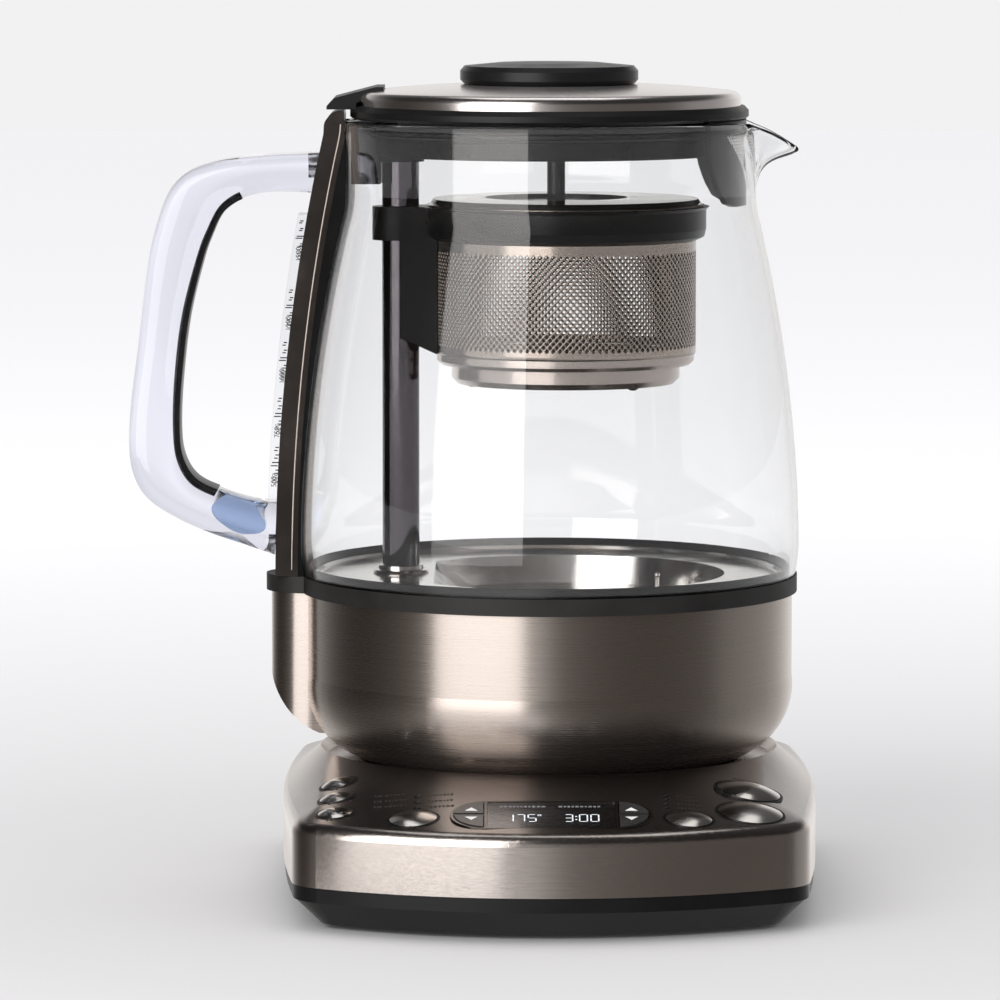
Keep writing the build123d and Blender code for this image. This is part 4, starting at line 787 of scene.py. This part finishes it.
# each segment: its place in widths and half heights, and whether it lies flat
SEGMENTS = {"a": (0, 1, True), "b": (0.5, 0.5, False), "c": (0.5, -0.5, False), "d": (0, -1, True),
            "e": (-0.5, -0.5, False), "f": (-0.5, 0.5, False), "g": (0, 0, True)}
DIGITS = {"0": "abcdef", "1": "bc", "3": "abgcd", "5": "afgcd", "7": "abc"}
DIGIT_Y, DIGIT_W, DIGIT_HALF_H, DIGIT_STROKE = -2.6, 2.3, 3.0, 0.38


def digit(symbol, x):
    """The lit segments of one digit, as flat outlines."""
    shapes = []
    for key in DIGITS[symbol]:
        across, up, lying = SEGMENTS[key]
        y = DIGIT_Y + up * DIGIT_HALF_H
        if lying:
            shapes.append(bar(x, y, DIGIT_W - DIGIT_STROKE * 1.3, DIGIT_STROKE))
        else:
            shapes.append(bar(x + across * DIGIT_W, y, DIGIT_STROKE, DIGIT_HALF_H - DIGIT_STROKE * 1.2))
    return shapes


lit = []
for symbol, x in zip("175", (-12.6, -9.2, -5.8)):
    lit += digit(symbol, x)
# the degree ring, as four short strokes
lit += [bar(-3.6, 0.3, 0.8, 0.25), bar(-3.6, -0.7, 0.8, 0.25)]
lit += [bar(-4.05, -0.2, 0.25, 0.8), bar(-3.15, -0.2, 0.25, 0.8)]
for symbol, x in zip("300", (5.2, 9.6, 13.0)):
    lit += digit(symbol, x)
# the colon
lit += [bar(7.4, -1.3, 0.55, 0.6), bar(7.4, -3.9, 0.55, 0.6)]
fixed_seed = random.Random(7)


def dashes(x, y, length, height, block=1.0, gap=0.45):
    """A row of small blocks that stands for a printed caption, with no letters in it."""
    shapes, at = [], x
    while at < x + length:
        width = fixed_seed.uniform(0.6, 1.2) * block
        shapes.append(bar(at + width / 2, y, width, height * fixed_seed.uniform(0.75, 1.0)))
        at += width + gap
    return shapes


CAPTION_Y, CAPTION_H, PRINT_T = 7.3, 1.5, 0.02
captions = dashes(-15.5, CAPTION_Y, 13.0, CAPTION_H) + dashes(2.2, CAPTION_Y, 12.5, CAPTION_H)
caption_shapes = [on_display(shape) for shape in captions]
flat_patch("display_captions", caption_shapes, "print_grey", "base", "display_dark", PRINT_T)
flat_patch("display_digits", [on_display(shape) for shape in lit], "lit", "base", "display_dark", PRINT_T)

# direction marks on the four flat keys
KEY_X, KEY_MARK_LIFT = 24.0, 0.46
for side, first, second in ((-1, "key_temp_up", "key_temp_down"), (1, "key_time_up", "key_time_down")):
    for row, key in ((1, first), (-1, second)):
        x = side * KEY_X
        tip = [(x - 1.9, row * 2.6), (x + 1.9, row * 2.6), (x, row * 5.4)]
        if row < 0:
            tip.reverse()
        mark = [on_display(tip, KEY_MARK_LIFT)]
        flat_patch(key + "_mark", mark, "print_white", key, "steel_polished", 0.03)

cover = NODES["base_top_cover"]
ABOVE_COVER = 0.2


def on_cover(outline, x, y):
    """A flat outline round a point of the sloping panel, dropped onto the cover."""
    start = Vector((x * MM, y * MM, ABOVE_COVER))
    _, place, normal, _ = cover.ray_cast(start, Vector((0, 0, -1)))
    across = Vector((0, 1, 0)).cross(normal).normalized()
    back = normal.cross(across)
    place = place / MM
    return [place + across * u + back * v + normal * 0.015 for u, v in outline], normal


def printed(x, y, start, length, block):
    """A caption on the panel: each of its blocks is dropped onto the cover by itself."""
    shapes = []
    for shape in dashes(start, 0.0, length, 1.7, block, 0.4):
        middle = sum(u for u, _ in shape) / 4
        shapes.append(on_cover([(u - middle, v) for u, v in shape], x + middle, y))
    return shapes


marks = []
# rows of captions beside the small lamps: left end, first row, row spacing, rows and length
CAPTIONS = [(-50.2, -82.4, 5.2, 3, 6.0), (-37.4, -85.9, 5.1, 3, 8.0), (38.0, -85.7, 3.65, 4, 7.6)]
for x, first_y, pitch, rows, length in CAPTIONS:
    for row in range(rows):
        marks += printed(x, first_y - row * pitch, 0.0, length, 0.85)
# a caption for each round button: how far behind the button's middle, negative in front, and its length
BESIDE = [("button_power", -6.6, 6.0), ("button_keep_warm", -6.6, 6.6), ("button_basket", -6.8, 6.2),
          ("button_tea_type", -8.6, 5.2), ("button_strength", -8.4, 6.4), ("button_hot_water", 11.4, 7.0),
          ("button_tea", -11.2, 4.0)]
for name, behind, length in BESIDE:
    (x0, y0, _), (x1, y1, _) = corners(name)
    marks += printed((x0 + x1) / 2, (y0 + y1) / 2 + behind, -length / 2, length, 0.9)
flat_patch("panel_print", marks, "print_brown", "base", "black_plastic", PRINT_T)

# ---------------------------------------------------------------- level strip marks
strip = NODES["level_strip"]
(_, strip_high) = corners("level_strip")
# each label with its height, as a share of the way from LEVELS_FROM_Z to the strip's top
# the marks are spaced for looks: the jug holds more between them than they say
LEVELS = [("1500", 0.93), ("1200", 0.72), ("1000", 0.56), ("750", 0.39), ("500", 0.24)]
LEVELS_FROM_Z, TICK_PITCH, TICK_HALF_T, TICK_LONG, TICK_SHORT = 107.0, 2.4, 0.18, 2.2, 1.1
LABEL_SIZE, LABEL_T, LABEL_DROP, LABEL_LIFT = 2.3 * MM, 0.02 * MM, 5.0, 0.00003
for side in (-1, 1):
    face = "front" if side < 0 else "back"
    ticks = []
    for label, share in LEVELS:
        height = LEVELS_FROM_Z + (share * (strip_high[2] - LEVELS_FROM_Z))
        _, place, _, _ = strip.ray_cast(Vector((-0.2, 0, height * MM)), Vector((1, 0, 0)))
        x = place.x / MM + 1.5
        y = side * strip_high[1]
        right = x + 1.2
        for k in range(-1, 3):
            z = height + TICK_PITCH * k
            left = right - (TICK_LONG if k == 0 else TICK_SHORT)
            low_z, high_z = z - TICK_HALF_T, z + TICK_HALF_T
            ticks.append(([(left, y, low_z), (right, y, low_z), (right, y, high_z), (left, y, high_z)],
                          (0, side, 0)))
        text = bpy.data.curves.new("level_" + label, "FONT")
        text.body = label
        text.size = LABEL_SIZE
        text.extrude = LABEL_T
        text.align_x = "CENTER"
        text.align_y = "CENTER"
        holder = bpy.data.objects.new("level_number", text)
        scene.collection.objects.link(holder)
        bpy.context.view_layer.update()
        mesh = bpy.data.meshes.new_from_object(holder.evaluated_get(bpy.context.evaluated_depsgraph_get()))
        bpy.data.objects.remove(holder)
        turn = Matrix.Rotation(math.radians(90), 4, "X")
        if side > 0:
            turn = Matrix.Rotation(math.pi, 4, "Z") @ turn
        upright = Matrix.Rotation(math.radians(-90), 4, "Y")
        to_place = Matrix.Translation((x * MM, y * MM + side * LABEL_LIFT, (height - LABEL_DROP) * MM))
        mesh.transform(to_place @ upright @ turn)
        mesh.materials.clear()
        mesh.materials.append(M["print_dark"])
        number = bpy.data.objects.new(f"level_{label}_{face}", mesh)
        scene.collection.objects.link(number)
        finish_piece(number, "jug", "black_plastic")
    flat_patch(f"level_ticks_{face}", ticks, "print_dark", "jug", "black_plastic", 0.03)


# ---------------------------------------------------------------- floor, light and camera
FLOOR_R, FLOOR_Z = 6.0, -0.0002
# the floor colour near the object is a painted shadow; the far colour is the floor's own pale colour
PAINTED_SHADOW_NEAR, PALE_FAR = (0.66, 0.656, 0.662), (0.955, 0.95, 0.96)
bpy.ops.mesh.primitive_circle_add(vertices=96, radius=FLOOR_R, fill_type="NGON", location=(0, 0, FLOOR_Z))
floor = bpy.context.object
floor.name = "floor"
pale = Shader("pale_floor")
cloudy = pale.math("MULTIPLY", pale.noise(pale.place, 1.2, 3.0), 0.04)
away = pale.add("ShaderNodeVectorMath", {0: pale.place}, operation="LENGTH").outputs["Value"]
# a painted shadow: darker near the object and paler away from it, all of it between about 0.2 and 1.2 metres
# out
pale.tint(pale.math("ADD", pale.remap(away, 0.0, 0.96, 0.22, 1.2), cloudy), PAINTED_SHADOW_NEAR, PALE_FAR, 0.0, 1.0)
pale.rough(pale.remap(pale.noise(pale.place, 3.0, 2.0), 0.45, 0.55))
pale.bsdf.inputs["Specular IOR Level"].default_value = 0.0
floor.data.materials.append(pale.material)
floor.visible_glossy = False


def soft_light(name, place, aim, width, height, power, colour=(1, 1, 1)):
    """A rectangular lamp, not seen by the camera itself."""
    data = bpy.data.lights.new(name, "AREA")
    data.shape = "RECTANGLE"
    data.size, data.size_y = width, height
    data.energy = power
    data.color = colour
    lamp = bpy.data.objects.new(name, data)
    scene.collection.objects.link(lamp)
    lamp.location = place
    lamp.rotation_euler = (Vector(aim) - Vector(place)).to_track_quat("-Z", "Y").to_euler()
    lamp.visible_camera = False


soft_light("window", place=(-1.05, -1.60, 0.95), aim=(0, 0, 0.78), width=1.55, height=2.25, power=27,
           colour=(1.0, 0.975, 0.955))
soft_light("overhead", place=(0.0, 0.5, 1.9), aim=(0, 0, 0.1), width=1.2, height=1.2, power=5)

world = bpy.data.worlds.new("studio")
scene.world = world
world.use_nodes = True
sky = world.node_tree
CEILING, BACKDROP, EVEN_LIGHT = 0.10, (0.89, 0.885, 0.895, 1), (0.94, 0.94, 0.95, 1)
# brightness of the room by direction round the object: 0 faces the camera's side, positive is the right
ROOM = [(-180, 0.92), (-158, 0.9), (-140, 0.25), (-118, 0.035), (-96, 0.03), (-80, 0.06), (-62, 0.10),
        (-50, 0.30), (-6, 0.34), (6, 0.11), (40, 0.09), (78, 0.085), (92, 0.24), (115, 0.28), (135, 0.42),
        (156, 0.88), (180, 0.92)]
# the same for the table below, which catches the window's light on the left
TABLE = [(-180, 0.7), (-150, 0.6), (-125, 0.05), (-64, 0.05), (-52, 1.25), (-8, 1.25), (4, 0.03), (70, 0.05),
         (120, 0.3), (180, 0.7)]


def eased(value, from_low, from_high, low, high):
    """A smooth step from low to high as value goes from from_low to from_high."""
    inputs = {"Value": value, "From Min": from_low, "From Max": from_high, "To Min": low, "To Max": high}
    return add_node(sky, "ShaderNodeMapRange", inputs, interpolation_type="SMOOTHSTEP").outputs[0]


def direction_ramp(direction, levels):
    """The light from each direction round the object, warmer where it is dark."""
    ramp = add_node(sky, "ShaderNodeValToRGB", {0: direction})
    ramp.color_ramp.interpolation = "B_SPLINE"
    elements = ramp.color_ramp.elements
    while len(elements) < len(levels):
        elements.new(0.5)
    for element, (angle, level) in zip(elements, levels):
        element.position = (angle + 180) / 360
        warm = max(0.0, 0.25 - level) * 0.9
        element.color = (level, level * (0.985 - warm * 0.6), level * (0.97 - warm), 1)
    return ramp.outputs[0]


def blended(share, first, second):
    """first where share is 0 and second where it is 1 or more; each is a colour or a socket."""
    inputs = {"Factor": share, "A": first, "B": second}
    return add_node(sky, "ShaderNodeMix", inputs, data_type="RGBA", clamp_factor=True).outputs["Result"]


seen = add_node(sky, "ShaderNodeTexCoord").outputs["Generated"]
east, north, up = add_node(sky, "ShaderNodeSeparateXYZ", {0: seen}).outputs
south = add_node(sky, "ShaderNodeMath", {0: north, 1: -1.0}, operation="MULTIPLY").outputs[0]
turn = add_node(sky, "ShaderNodeMath", {0: east, 1: south}, operation="ARCTAN2").outputs[0]
full_turn = {"Value": turn, "From Min": -math.pi, "From Max": math.pi}
round_it = add_node(sky, "ShaderNodeMapRange", full_turn).outputs[0]
below = eased(up, -0.14, -0.34, 0.0, 1.0)
around = blended(below, direction_ramp(round_it, ROOM), direction_ramp(round_it, TABLE))
# the walls are bright and the ceiling is dark
shade = eased(up, 0.20, 0.52, 1.0, CEILING)
walls = add_node(sky, "ShaderNodeVectorMath", {0: around, "Scale": shade}, operation="SCALE").outputs[0]
# the backdrop is white unless it is seen in a reflection, and matt surfaces get an even light
rays = add_node(sky, "ShaderNodeLightPath").outputs
mirrored = blended(rays["Glossy Depth"], BACKDROP, walls)
sky.links.new(blended(rays["Diffuse Depth"], mirrored, EVEN_LIGHT), sky.nodes["Background"].inputs["Color"])
sky.nodes["Background"].inputs["Strength"].default_value = 1.0

camera_data = bpy.data.cameras.new("camera")
camera_data.sensor_width = 36.0
camera_data.lens = 227.9
camera_data.clip_end = 30.0
camera = bpy.data.objects.new("camera", camera_data)
scene.collection.objects.link(camera)
CAMERA_TILT = 5.603  # degrees below level
camera.location = (-0.0154, -1.985, 0.315)
camera.rotation_euler = (math.radians(90 - CAMERA_TILT), 0, 0)
scene.camera = camera
scene.view_settings.view_transform = "Standard"

bpy.context.view_layer.update()
